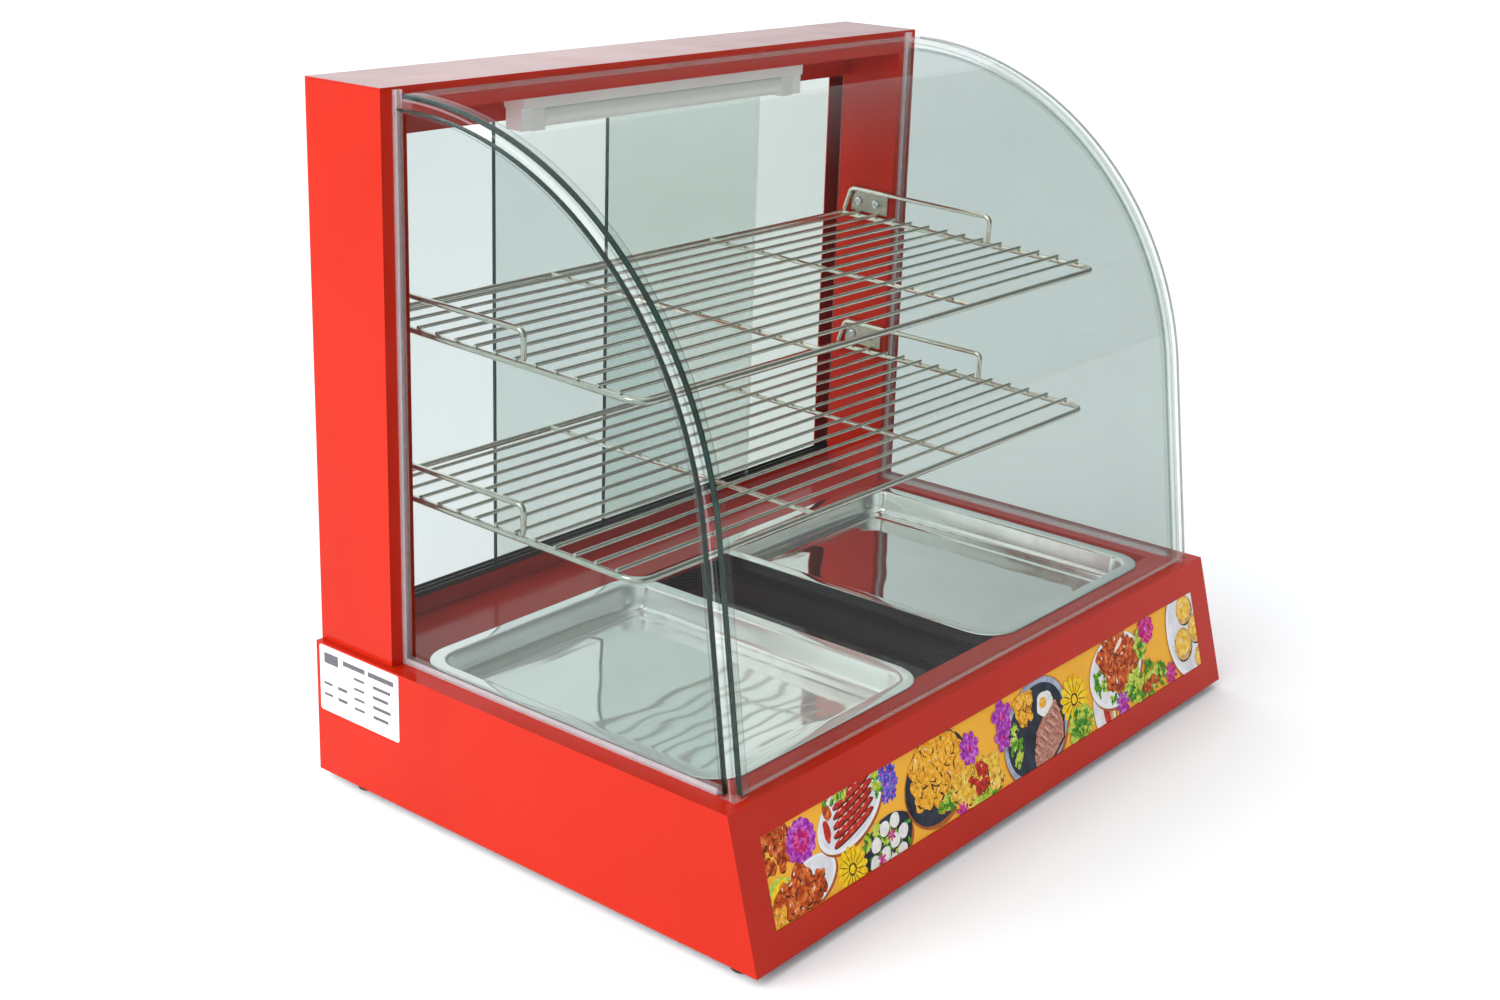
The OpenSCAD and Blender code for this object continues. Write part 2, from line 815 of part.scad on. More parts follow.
module shelf_grid() {
    pitch = shelf_l / wire_gaps;
    for (sx = [-1, 1]) {
        rod([sx * shelf_half, shelf_corner, 0], [sx * shelf_half, shelf_l, 0], bar_r);
        translate([sx * (shelf_half - shelf_corner), shelf_corner, 0])
            rotate([0, 0, sx > 0 ? -90 : 180])
                rotate_extrude(angle = 90) translate([shelf_corner, 0]) circle(r = bar_r);
        rod([sx * stay_x, 0, 0.5], [sx * stay_x, shelf_l, 0.5], stay_r);
    }
    rod([-shelf_half + shelf_corner, 0, 0], [shelf_half - shelf_corner, 0, 0], bar_r);
    rod([-shelf_half, shelf_l, 0], [shelf_half, shelf_l, 0], bar_r);
    for (i = [1:wire_gaps - 1]) translate([0, i * pitch, bar_r + wire_r - 0.2])
        rod([-shelf_half - 1.5, 0, 0], [shelf_half + 1.5, 0, 0], wire_r);
}

module shelf_rail() {
    x = shelf_half - 0.4;
    foot = bar_r + 0.05;
    post_r = 0.93 * rail_r;
    rod([x, rail_front - rail_r, rail_h], [x, rail_rear + rail_r, rail_h], rail_r);
    rod([x, rail_front, foot], [x, rail_front, rail_h], post_r);
    rod([x, shelf_l - 2.5, foot + 0.7], [x, rail_rear, rail_h], post_r);
}

module shelf_plate() {
    plate_z = bar_r + 1.8;
    hole_r = shelf_screw_r + 0.3;
    slot_half = 2;
    translate([shelf_half + 2.15, rail_rear - plate_l, plate_z]) difference() {
        cube([plate_t, plate_l, rail_h + rail_r - plate_z - 0.5]);
        for (y = shelf_screw_y)
            translate([-cut, y - rail_rear + plate_l, shelf_screw_z - plate_z]) {
                translate([0, -slot_half, -hole_r])
                    cube([plate_t + 2 * cut, 2 * slot_half, 2 * hole_r]);
                for (dy = [-slot_half, slot_half]) translate([0, dy, 0])
                    rotate([0, 90, 0]) cylinder(h = plate_t + 2 * cut, r = hole_r);
            }
    }
}

module shelf_holes() {
    for (s = [[upper_z, upper_tilt], [lower_z, lower_tilt]])
        shelf_place(s[0], s[1]) for (y = shelf_screw_y)
            translate([col_in - cut, y, shelf_screw_z]) rotate([0, 90, 0])
                cylinder(h = sheet_t + 2 * cut, r = shelf_screw_r + 0.15);
}

module shelf_screws() {
    head_x = shelf_half + 2.05;
    in_frame() color([0.78, 0.78, 0.80]) both_sides()
        for (s = [[upper_z, upper_tilt], [lower_z, lower_tilt]])
            shelf_place(s[0], s[1]) for (y = shelf_screw_y)
                translate([0, y, shelf_screw_z]) rotate([0, 90, 0]) {
                    translate([0, 0, head_x - 2.6]) cylinder(h = 2.6, r = 4);
                    translate([0, 0, head_x - 0.2]) cylinder(h = 9, r = shelf_screw_r);
                }
}

module upper_shelf_grid() {
    in_frame() color([0.80, 0.80, 0.80]) shelf_place(upper_z, upper_tilt) shelf_grid();
}

module upper_shelf_side_rails() {
    in_frame() color([0.80, 0.80, 0.80]) shelf_place(upper_z, upper_tilt)
        both_sides() shelf_rail();
}

module upper_shelf_brackets() {
    in_frame() color([0.74, 0.74, 0.72]) shelf_place(upper_z, upper_tilt)
        both_sides() shelf_plate();
}

module lower_shelf_grid() {
    in_frame() color([0.80, 0.80, 0.80]) shelf_place(lower_z, lower_tilt) shelf_grid();
}

module lower_shelf_side_rails() {
    in_frame() color([0.80, 0.80, 0.80]) shelf_place(lower_z, lower_tilt)
        both_sides() shelf_rail();
}

module lower_shelf_brackets() {
    in_frame() color([0.74, 0.74, 0.72]) shelf_place(lower_z, lower_tilt)
        both_sides() shelf_plate();
}

// ---- Lamp ----

module lamp_housing() {
    housing_h = 11;
    in_frame() color([0.93, 0.93, 0.92]) {
        translate([-lamp_half, lamp_y - 11, fascia_z - gap - housing_h])
            cube([2 * lamp_half, 22, housing_h]);
        for (x = [-lamp_half, tube_half + 15])
            translate([x, lamp_y - 9, tube_z - tube_r])
                cube([lamp_half - tube_half - 15, 18, fascia_z - gap - 10 - tube_z + tube_r]);
    }
}

module lamp_sockets() {
    in_frame() color([0.96, 0.96, 0.95]) both_sides()
        translate([tube_half + gap, lamp_y - 9, tube_z - 9])
            cube([14.6, 18, fascia_z - 2 * gap - 11 - tube_z + 9]);
}

module lamp_tube() {
    in_frame() color([0.97, 0.97, 0.95])
        rod([-tube_half, lamp_y, tube_z], [tube_half, lamp_y, tube_z], tube_r);
}

base_housing();
base_bottom_plate();
graphic_panel();
rating_label();
deck_plate();
tray_left();
tray_right();
rubber_feet();
foot_screws();
heating_element_left();
heating_element_right();
element_brackets();
heat_shield();
thermostat_body();
thermostat_shaft();
thermostat_knob();
thermostat_dial();
thermostat_probe();
power_switch_body();
power_switch_rocker();
light_switch_body();
light_switch_rocker();
pilot_lamp();
cable_gland();
terminal_block();
internal_wiring();
ballast();
starter();
left_column();
right_column();
column_screws();
top_hood();
hood_screws();
rear_sill();
door_track_top();
door_track_bottom();
rear_door_inner();
rear_door_outer();
side_glass_left();
side_glass_right();
front_glass();
glass_edge_strip_left();
glass_edge_strip_right();
column_channel_left();
column_channel_right();
side_channel_left();
side_channel_right();
front_bottom_channel();
front_top_channel();
upper_shelf_grid();
upper_shelf_side_rails();
upper_shelf_brackets();
lower_shelf_grid();
lower_shelf_side_rails();
lower_shelf_brackets();
shelf_screws();
lamp_housing();
lamp_sockets();
lamp_tube();
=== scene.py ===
import json
import math
import random

import bmesh
import bpy
from mathutils import Matrix, Vector


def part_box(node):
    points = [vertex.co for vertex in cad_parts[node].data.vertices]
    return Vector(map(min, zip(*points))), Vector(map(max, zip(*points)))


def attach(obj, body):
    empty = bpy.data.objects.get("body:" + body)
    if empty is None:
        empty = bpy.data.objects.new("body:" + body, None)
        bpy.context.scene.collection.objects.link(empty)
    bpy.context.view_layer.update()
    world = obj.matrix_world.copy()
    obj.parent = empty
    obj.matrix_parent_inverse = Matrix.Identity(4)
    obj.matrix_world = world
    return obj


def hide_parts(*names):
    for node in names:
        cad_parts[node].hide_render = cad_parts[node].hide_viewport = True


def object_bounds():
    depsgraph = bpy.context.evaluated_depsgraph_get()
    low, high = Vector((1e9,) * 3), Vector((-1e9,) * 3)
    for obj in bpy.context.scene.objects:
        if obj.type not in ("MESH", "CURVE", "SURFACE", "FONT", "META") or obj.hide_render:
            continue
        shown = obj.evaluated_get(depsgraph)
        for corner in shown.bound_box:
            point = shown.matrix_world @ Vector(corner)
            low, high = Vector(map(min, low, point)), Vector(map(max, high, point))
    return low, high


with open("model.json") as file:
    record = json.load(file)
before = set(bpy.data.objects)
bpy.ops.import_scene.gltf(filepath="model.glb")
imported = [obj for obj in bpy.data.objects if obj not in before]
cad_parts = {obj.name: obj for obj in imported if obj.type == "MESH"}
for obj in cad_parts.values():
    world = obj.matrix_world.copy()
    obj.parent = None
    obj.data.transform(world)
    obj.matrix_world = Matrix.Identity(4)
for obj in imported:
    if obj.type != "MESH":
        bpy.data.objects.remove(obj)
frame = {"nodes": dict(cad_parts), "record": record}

cad_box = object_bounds()
nodes = frame["nodes"]
MM = 0.001
MID_X = 0.00015     # the middle of the case's width
FOOT_H = 0.007      # the height of the rubber feet


# ---------------------------------------------------------------- material helpers

class Mat:
    """A small builder for procedural materials in object space."""

    def __init__(self, name):
        self.m = bpy.data.materials.new(name)
        self.m.use_nodes = True
        self.nt = self.m.node_tree
        self.nt.nodes.clear()
        self.out = self.nt.nodes.new("ShaderNodeOutputMaterial")
        self.coord = self.nt.nodes.new("ShaderNodeTexCoord").outputs["Object"]

    def node(self, kind, **inputs):
        n = self.nt.nodes.new(kind)
        for k, v in inputs.items():
            self.put(n.inputs[k.replace("_", " ")], v)
        return n

    def put(self, socket, value):
        if isinstance(value, bpy.types.NodeSocket):
            self.nt.links.new(value, socket)
        else:
            socket.default_value = value

    def stretched(self, scale):
        n = self.nt.nodes.new("ShaderNodeMapping")
        self.nt.links.new(self.coord, n.inputs["Vector"])
        n.inputs["Scale"].default_value = scale
        return n.outputs[0]

    def noise(self, scale, detail=3.0, rough=0.5, vector=None):
        n = self.node("ShaderNodeTexNoise", Scale=scale, Detail=detail, Roughness=rough)
        self.nt.links.new(vector or self.coord, n.inputs["Vector"])
        return n.outputs[0]

    def cells(self, scale, feature="F1", vector=None):
        n = self.node("ShaderNodeTexVoronoi", Scale=scale)
        n.feature = feature
        self.nt.links.new(vector or self.coord, n.inputs["Vector"])
        return n.outputs["Distance"]

    def span(self, value, lo, hi, a=0.3, b=0.7):
        n = self.node("ShaderNodeMapRange", Value=value)
        for i, v in zip((1, 2, 3, 4), (a, b, lo, hi)):
            n.inputs[i].default_value = v
        return n.outputs[0]

    def ramp(self, value, stops):
        n = self.node("ShaderNodeValToRGB", Fac=value)
        cr = n.color_ramp
        while len(cr.elements) < len(stops):
            cr.elements.new(0.5)
        for e, (p, c) in zip(cr.elements, stops):
            e.position = p
            e.color = c
        return n.outputs[0]

    def bump(self, height, strength, distance, normal=None):
        n = self.node("ShaderNodeBump", Height=height, Strength=strength, Distance=distance)
        if normal is not None:
            self.nt.links.new(normal, n.inputs["Normal"])
        return n.outputs[0]

    def maths(self, operation, *values, clamp=False):
        n = self.nt.nodes.new("ShaderNodeMath")
        n.operation = operation
        n.use_clamp = clamp
        for socket, value in zip(n.inputs, values):
            self.put(socket, value)
        return n.outputs[0]

    def shade(self, **inputs):
        n = self.nt.nodes.new("ShaderNodeBsdfPrincipled")
        for k, v in inputs.items():
            self.put(n.inputs[k.replace("_", " ")], v)
        self.nt.links.new(n.outputs[0], self.out.inputs[0])
        return self.m


def scaled(c, k):
    return (min(c[0] * k, 1), min(c[1] * k, 1), min(c[2] * k, 1), 1)


def plain(name, colour, rough, metal=0.0, vary=0.08, patch=30, grain=900, bump=0.05,
          depth=0.0001, **extra):
    """Cast, moulded or painted stuff: mottled colour, uneven gloss and a fine surface grain."""
    t = Mat(name)
    col = t.ramp(t.noise(patch, 4), [(0.3, scaled(colour, 1 - vary)), (0.7, scaled(colour, 1 + vary))])
    rgh = t.span(t.noise(patch * 2.3, 3), rough * 0.85, rough * 1.18)
    nrm = t.bump(t.noise(grain, 2), bump, depth)
    return t.shade(Base_Color=col, Roughness=rgh, Metallic=metal, Normal=nrm, **extra)


def brushed(name, colour, rough, scale=(6, 900, 900), metal=1.0, patch=25, streak=0.10):
    """Rolled or drawn metal with fine streaks along one way."""
    t = Mat(name)
    lines = t.noise(1.0, 3, 0.6, t.stretched(scale))
    col = t.ramp(t.noise(patch, 3), [(0.3, scaled(colour, 0.93)), (0.7, scaled(colour, 1.05))])
    rgh = t.span(lines, rough * (1 - streak * 3), rough * (1 + streak * 3))
    nrm = t.bump(lines, 0.06, 0.0001)
    return t.shade(Base_Color=col, Roughness=rgh, Metallic=metal, Normal=nrm)


def red_paint(name, mirror, top):
    """Baked enamel on sheet steel: slight orange peel and uneven gloss, with upward faces darker
    as a painted shade: top is how bright it is there."""
    t = Mat(name)
    base = (0.52, 0.0180, 0.0050)
    normal = t.nt.nodes.new("ShaderNodeNewGeometry").outputs["Normal"]
    # upward faces are given a darker colour: painted shade
    upward = t.span(t.node("ShaderNodeSeparateXYZ", Vector=normal).outputs["Z"], 0.0, 0.42, 0.6, 0.95)
    mottle_and_top_shade = t.maths("SUBTRACT", t.span(t.noise(9, 4), 0.45, 0.55, 0.3, 0.72), upward)
    col = t.ramp(mottle_and_top_shade, [(0.08, scaled(base, top)), (0.45, scaled(base, 0.95)), (0.55, scaled(base, 1.04))])
    rgh = t.span(t.noise(22, 4), 0.13, 0.19)
    peel = t.bump(t.noise(260, 2), 0.04, 0.0002)
    return t.shade(Base_Color=col, Roughness=rgh, Normal=t.bump(t.noise(7, 1), 0.06, 0.003, peel),
                   Specular_IOR_Level=mirror)


def pane_glass(name, tint, gloss=1.0, rough=0.01):
    """Clear float glass: tinted see-through with a mirror layer on the faces that look outwards."""
    t = Mat(name)
    clear = t.node("ShaderNodeBsdfTransparent", Color=t.ramp(
        t.noise(5, 2), [(0.3, scaled(tint, 0.992)), (0.7, tint)]))
    mirror = t.node("ShaderNodeBsdfGlossy", Color=(1, 1, 1, 1), Roughness=t.span(
        t.noise(12, 2), rough * 0.8, rough * 1.2))
    fresnel = t.node("ShaderNodeFresnel", IOR=1.5)
    back = t.nt.nodes.new("ShaderNodeNewGeometry").outputs["Backfacing"]
    outward = t.maths("SUBTRACT", gloss, back)
    fac = t.maths("MULTIPLY", fresnel.outputs[0], outward, clamp=True)
    mix = t.node("ShaderNodeMixShader", Fac=fac)
    t.nt.links.new(clear.outputs[0], mix.inputs[1])
    t.nt.links.new(mirror.outputs[0], mix.inputs[2])
    t.nt.links.new(mix.outputs[0], t.out.inputs[0])
    return t.m


# top paints upward faces darker, a painted shade; the hood's copy of the same enamel is painted much
# darker there
RED = red_paint("red_enamel", 0.13, 0.80)
RED_HOOD_SHADED = red_paint("red_enamel_hood_painted_shade", 0.18, 0.34)
STEEL = brushed("pressed_stainless", (0.74, 0.74, 0.72, 1), 0.15)
ZINC = brushed("zinc_plated_sheet", (0.62, 0.63, 0.66, 1), 0.35, scale=(40, 300, 40))
SCREW = brushed("bright_zinc_screw", (0.72, 0.73, 0.78, 1), 0.22, scale=(300, 300, 300))
CHROME = plain("bright_chromed_wire", (0.74, 0.72, 0.64, 1), 0.16, metal=1.0, vary=0.07, patch=90,
               grain=500, bump=0.05)
DECK = plain("dark_glossy_deck", (0.009, 0.006, 0.005, 1), 0.05, vary=0.3, patch=12, grain=9,
             bump=0.10, depth=0.002, Specular_IOR_Level=0.14)
RUBBER = plain("black_rubber", (0.022, 0.022, 0.022, 1), 0.75, vary=0.2, patch=80, grain=1500,
               bump=0.3)
DARK = plain("dark_moulded_plastic", (0.02, 0.02, 0.021, 1), 0.38, vary=0.12, patch=60, grain=2200,
             bump=0.25)
PROFILE = plain("black_track_profile", (0.018, 0.022, 0.020, 1), 0.32, vary=0.2, patch=50, bump=0.1)
WHITE_PAINT = plain("white_enamel", (0.88, 0.89, 0.87, 1), 0.35, vary=0.03, patch=30)
WHITE = plain("white_moulding", (0.82, 0.82, 0.78, 1), 0.42, vary=0.04, patch=40)
TUBE = plain("phosphor_coated_tube", (0.90, 0.91, 0.88, 1), 0.18, vary=0.02, patch=30, Coat_Weight=0.8)
GREEN = plain("green_rocker", (0.02, 0.30, 0.06, 1), 0.25, vary=0.08, patch=90)
RED_ROCKER = plain("red_rocker", (0.50, 0.015, 0.012, 1), 0.25, vary=0.08, patch=90)
AMBER = plain("amber_lens", (0.90, 0.33, 0.03, 1), 0.16, vary=0.1, patch=200, Coat_Weight=0.5)
COPPER = brushed("drawn_copper", (0.78, 0.42, 0.26, 1), 0.28, scale=(300, 300, 300))
SHEATH = plain("heater_sheath", (0.20, 0.18, 0.16, 1), 0.5, metal=0.8, vary=0.25, patch=40)
BLUE = plain("blue_insulation", (0.03, 0.08, 0.38, 1), 0.4, vary=0.1, patch=70)
PRINT_BASE = plain("orange_print", (0.95, 0.47, 0.050, 1), 0.24, vary=0.05, patch=14, grain=1500,
                   bump=0.03, Specular_IOR_Level=0.05)
NICKEL = brushed("nickel_plated_bracket", (0.40, 0.37, 0.31, 1), 0.30, scale=(200, 200, 200))
LABEL = plain("white_foil_label", (0.80, 0.80, 0.82, 1), 0.3, vary=0.03, patch=50, grain=800)
DIAL_INK = plain("black_dial_ink", (0.02, 0.02, 0.022, 1), 0.45, vary=0.15, patch=300)
INK = plain("grey_label_ink", (0.10, 0.10, 0.115, 1), 0.45, vary=0.15, patch=300)
GLASS = pane_glass("clear_float_glass", (0.860, 0.890, 0.875, 1), 0.35)
GLASS_SIDE = pane_glass("tinted_float_glass", (0.772, 0.812, 0.805, 1), 0.35)
GLASS_FRONT = pane_glass("curved_float_glass", (0.870, 0.892, 0.878, 1), 0.45)
GLASS_DULL = pane_glass("float_glass_top_edge", (0.955, 0.962, 0.960, 1), 0.05)
EDGE = plain("green_glass_edge", (0.007, 0.026, 0.021, 1), 0.20, vary=0.35, patch=60,
             Specular_IOR_Level=0.3)
# the same cut glass edge as the green one, painted pale: painted light
EDGE_PAINTED_LIGHT = plain("pale_edge_painted_light", (0.62, 0.68, 0.66, 1), 0.30, vary=0.10, patch=60, Alpha=0.30)
PVC = pane_glass("clear_plastic_profile", (0.935, 0.955, 0.945, 1), 0.45, 0.09)
# a pale band along the strip's outer face and on its ends: painted highlight
PVC_PAINTED_HIGHLIGHT = plain("profile_painted_highlight", (0.78, 0.82, 0.84, 1), 0.18, vary=0.05, patch=60, Alpha=0.16)
PVC_DARK = plain("profile_shadow_line", (0.10, 0.12, 0.13, 1), 0.25, vary=0.2, patch=60, Alpha=0.30)
PVC_RIM = plain("profile_outer_rim", (0.12, 0.14, 0.15, 1), 0.25, vary=0.2, patch=60, Alpha=0.75)
PVC_CLEAR = pane_glass("clear_thin_channel", (0.985, 0.988, 0.986, 1), 0.14, 0.12)
PVC_HAZE = plain("milky_plastic_channel", (0.84, 0.84, 0.87, 1), 0.20, vary=0.06, patch=50, Alpha=0.26,
                 Specular_IOR_Level=0.5)

SLOT_MATERIALS = {
    "red_paint": RED, "zinc_sheet": ZINC, "printed_panel": PRINT_BASE, "white_label": LABEL,
    "dark_enamel": DECK, "stainless": STEEL, "black_rubber": RUBBER, "element_sheath": SHEATH,
    "dark_plastic": DARK, "shaft_steel": ZINC, "copper": COPPER, "green_plastic": GREEN,
    "red_plastic": RED_ROCKER, "amber_lens": AMBER, "white_plastic": WHITE,
    "blue_insulation": BLUE, "black_profile": PROFILE, "clear_glass": GLASS,
    "clear_plastic": PVC, "chromed_wire": CHROME, "white_paint": WHITE_PAINT,
    "lamp_glass": TUBE}

t = Mat("knob_with_white_line")
klo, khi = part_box("thermostat_knob")
place = t.node("ShaderNodeSeparateXYZ", Vector=t.coord).outputs
on_line = t.maths("COMPARE", place["X"], (klo.x + khi.x) / 2, 0.0008)
on_line = t.maths("MULTIPLY", on_line, t.maths("GREATER_THAN", place["Z"], (klo.z + khi.z) / 2 + 0.003))
on_line = t.maths("MULTIPLY", on_line, t.maths("GREATER_THAN", place["Y"], khi.y - 0.0004))
line_ink = t.node("ShaderNodeMix", Factor=on_line)
line_ink.data_type = "RGBA"
t.put(line_ink.inputs["A"], t.ramp(t.noise(60, 3), [(0.3, (0.017, 0.017, 0.018, 1)),
                                                    (0.7, (0.024, 0.024, 0.025, 1))]))
line_ink.inputs["B"].default_value = (0.8, 0.8, 0.78, 1)
KNOB = t.shade(Base_Color=line_ink.outputs["Result"], Roughness=t.span(t.noise(140, 3), 0.30, 0.42),
               Normal=t.bump(t.noise(2200, 2), 0.25, 0.0001))

slot_of = {s["node"]: s["material_slot"] for s in frame["record"]["subparts"]}
for name, obj in nodes.items():
    m = SLOT_MATERIALS[slot_of[name]]
    if not obj.material_slots:
        obj.data.materials.append(m)
    for s in obj.material_slots:
        s.material = m
# the hood takes the copy of the red enamel with the stronger painted shade on its top
DRESSED = {RED_HOOD_SHADED: ("top_hood",),
           KNOB: ("thermostat_knob",),
           SCREW: ("foot_screws", "column_screws", "hood_screws"),
           NICKEL: ("upper_shelf_brackets", "lower_shelf_brackets"),
           PVC_HAZE: ("column_channel_left", "column_channel_right", "side_channel_left",
                      "side_channel_right"),
           PVC_CLEAR: ("front_top_channel", "front_bottom_channel")}
for m, names in DRESSED.items():
    for name in names:
        for s in nodes[name].material_slots:
            s.material = m


# ---------------------------------------------------------------- mesh helpers

def make(name, verts, faces, mats, body, indices=None, smooth=30, replaces=()):
    """A finished piece: normals out, sharp edges kept, riding on its body."""
    me = bpy.data.meshes.new(name)
    me.from_pydata([tuple(v) for v in verts], [], faces)
    for m in mats:
        me.materials.append(m)
    if indices:
        me.polygons.foreach_set("material_index", indices)
    bm = bmesh.new()
    bm.from_mesh(me)
    bmesh.ops.recalc_face_normals(bm, faces=bm.faces)
    bm.to_mesh(me)
    bm.free()
    me.validate()
    if smooth:
        me.polygons.foreach_set("use_smooth", [True] * len(me.polygons))
        me.set_sharp_from_angle(angle=math.radians(smooth))
    ob = bpy.data.objects.new(name, me)
    bpy.context.scene.collection.objects.link(ob)
    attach(ob, body)
    if replaces:
        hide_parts(*replaces)
    return ob


def bevel(ob, width):
    """Rounds a CAD node's edges by modifiers: its flat faces are made whole first, so that their
    shading stays flat."""
    w = ob.modifiers.new("weld", "WELD")
    w.merge_threshold = 0.00001
    d = ob.modifiers.new("flat_faces", "DECIMATE")
    d.decimate_type = "DISSOLVE"
    d.angle_limit = math.radians(0.5)
    b = ob.modifiers.new("bevel", "BEVEL")
    b.width = width
    b.segments = 2
    b.limit_method = "ANGLE"
    b.angle_limit = math.radians(40)
    b.harden_normals = False
    n = ob.modifiers.new("flat_normals", "WEIGHTED_NORMAL")
    n.keep_sharp = True


def film(name, quads, mats, indices=None):
    """Ink that lies on a surface: flat polygons given a hair of thickness."""
    verts = [tuple(p) for q in quads for p in q]
    faces = []
    start = 0
    for q in quads:
        faces.append(tuple(range(start, start + len(q))))
        start += len(q)
    me = bpy.data.meshes.new(name)
    me.from_pydata(verts, [], faces)
    for m in mats:
        me.materials.append(m)
    if indices:
        me.polygons.foreach_set("material_index", indices)
    ob = bpy.data.objects.new(name, me)
    bpy.context.scene.collection.objects.link(ob)
    s = ob.modifiers.new("film", "SOLIDIFY")
    s.thickness = 0.00002
    s.offset = -1
    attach(ob, "cabinet")


def loft(rings, cap=False):
    """Quads between closed rings of equal length; vertices and faces."""
    verts = [p for r in rings for p in r]
    n = len(rings[0])
    faces = []
    for i in range(len(rings) - 1):
        for j in range(n):
            k = (j + 1) % n
            faces.append((i * n + j, i * n + k, (i + 1) * n + k, (i + 1) * n + j))
    if cap:
        faces.append(tuple(range(n)))
        faces.append(tuple(range((len(rings) - 1) * n, len(rings) * n)))
    return verts, faces


def merge(parts):
    """Joins (verts, faces) lists into one."""
    verts, faces = [], []
    for v, f in parts:
        o = len(verts)
        verts += v
        faces += [tuple(i + o for i in q) for q in f]
    return verts, faces


def rounded_path(points, radius, steps=8):
    """A polyline with its corners turned into arcs."""
    out = [Vector(points[0])]
    for i in range(1, len(points) - 1):
        p = Vector(points[i])
        a = (Vector(points[i - 1]) - p).normalized()
        b = (Vector(points[i + 1]) - p).normalized()
        half = math.acos(max(-1, min(1, a.dot(b)))) / 2
        t = radius / math.tan(half)
        centre = p + (a + b).normalized() * (radius / math.sin(half))
        s, e = p + a * t - centre, p + b * t - centre
        for k in range(steps + 1):
            out.append(centre + s.normalized().slerp(e.normalized(), k / steps) * radius)
    out.append(Vector(points[-1]))
    return out


def tube(points, r, sides=16):
    """A round rod along a path, with domed ends."""
    pts = [Vector(p) for p in points]
    rings = []
    t0 = (pts[1] - pts[0]).normalized()
    up = Vector((0, 0, 1)) if abs(t0.z) < 0.9 else Vector((1, 0, 0))
    u = t0.cross(up).normalized()
    line = [(pts[0] - t0 * r * 0.001, r * 0.35, t0), (pts[0] + t0 * r * 0.12, r * 0.8, t0)]
    pts[0] = pts[0] + t0 * r * 0.5
    for i, p in enumerate(pts):
        if i == 0:
            t = t0
        elif i == len(pts) - 1:
            t = (pts[i] - pts[i - 1]).normalized()
        else:
            t = ((pts[i + 1] - p).normalized() + (p - pts[i - 1]).normalized()).normalized()
        q = p - t * r * 0.5 if i == len(pts) - 1 else p
        line.append((q, r, t))
    t1 = line[-1][2]
    line.append((pts[-1] - t1 * r * 0.12, r * 0.8, t1))
    line.append((pts[-1] + t1 * r * 0.001, r * 0.35, t1))
    for p, rad, t in line:
        u = (u - t * u.dot(t)).normalized()
        v = t.cross(u)
        rings.append([p + (u * math.cos(a) + v * math.sin(a)) * rad
                      for a in [2 * math.pi * k / sides for k in range(sides)]])
    return loft(rings, cap=True)


def outline_slab(points, inner, x0, x1, name, node, rim):
    """A flat pane from two (y, z) outlines: see-through faces with a coloured band along the rim.
    rim lists the material index of every edge of the outline."""
    n = len(points)
    verts = []
    for x in (x0, x1):
        for ring in (points, inner):
            verts += [Vector((x, y, z)) for y, z in ring]
    faces, index = [tuple(range(n, 2 * n)), tuple(range(3 * n, 4 * n))], [0, 0]
    for i in range(n):
        k = (i + 1) % n
        faces += [(i, k, n + k, n + i), (2 * n + i, 2 * n + k, 3 * n + k, 3 * n + i),
                  (i, k, 2 * n + k, 2 * n + i)]
        index += [rim[i] if rim[i] == 1 else 0] * 2 + [rim[i]]
    make(name, verts, faces, [GLASS_SIDE, EDGE, EDGE_PAINTED_LIGHT], "cabinet", index,
         replaces=(node,))


# ---------------------------------------------------------------- glass

lo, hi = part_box("front_glass")
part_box("side_glass_right")      # only to stop here if the node is missing
R = 0.296                       # the front glass's outer radius
PANE = 0.004                    # its thickness
LEAN = math.radians(7.8)        # how far its straight leg leans back
cz = hi.z - R
cy = lo.y + R * math.cos(LEAN) + (cz + R * math.sin(LEAN) - lo.z) * math.tan(LEAN)


def curve_point(rad, s, foot_z, end):
    """A point on the case's curve: s from 0 at the foot to 1 at the end angle; the first two
    tenths run up the straight leg."""
    if s < 0.2:
        k = 1 - s / 0.2
        t = (cz + rad * math.sin(LEAN) - foot_z) / math.cos(LEAN) * k
        return (cy - rad * math.cos(LEAN) - t * math.sin(LEAN),
                cz + rad * math.sin(LEAN) - t * math.cos(LEAN))
    a = LEAN + (end - LEAN) * (s - 0.2) / 0.8
    return (cy - rad * math.cos(a), cz + rad * math.sin(a))


def stations(leg=6, arc=80):
    return [0.2 * i / leg for i in range(leg)] + [0.2 + 0.8 * i / arc for i in range(arc + 1)]


end_glass = math.pi / 2 + math.asin((hi.y - cy) / R)
BAND = 0.0012                   # how wide a cut edge's green rim shows
rings = []
for s in stations():
    ring = []
    for rad, xs in ((R, (lo.x, lo.x + BAND, hi.x - BAND, hi.x)),
                    (R - PANE, (hi.x, hi.x - BAND, lo.x + BAND, lo.x))):
        for x in xs:
            y, z = curve_point(rad, s, lo.z, end_glass)
            ring.append(Vector((x, y, z)))
    rings.append(ring)
verts, faces = loft(rings, cap=True)
# the glass is duller above this part of its curve
dull_from = 0.76
# the right end face and both caps are painted pale, a painted light; the left end and the rim bands are
# green
index = []
for f in faces[:-2]:
    side = f[0] % 8
    kind = {0: 1, 6: 1, 7: 1, 3: 2}.get(side, 0)
    if kind == 0 and f[0] // 8 / len(rings) > dull_from:
        kind = 3
    index.append(kind)
index += [2, 2]
make("curved_front_glass", verts, faces, [GLASS_FRONT, EDGE, EDGE_PAINTED_LIGHT, GLASS_DULL], "cabinet",
     index, replaces=("front_glass",))

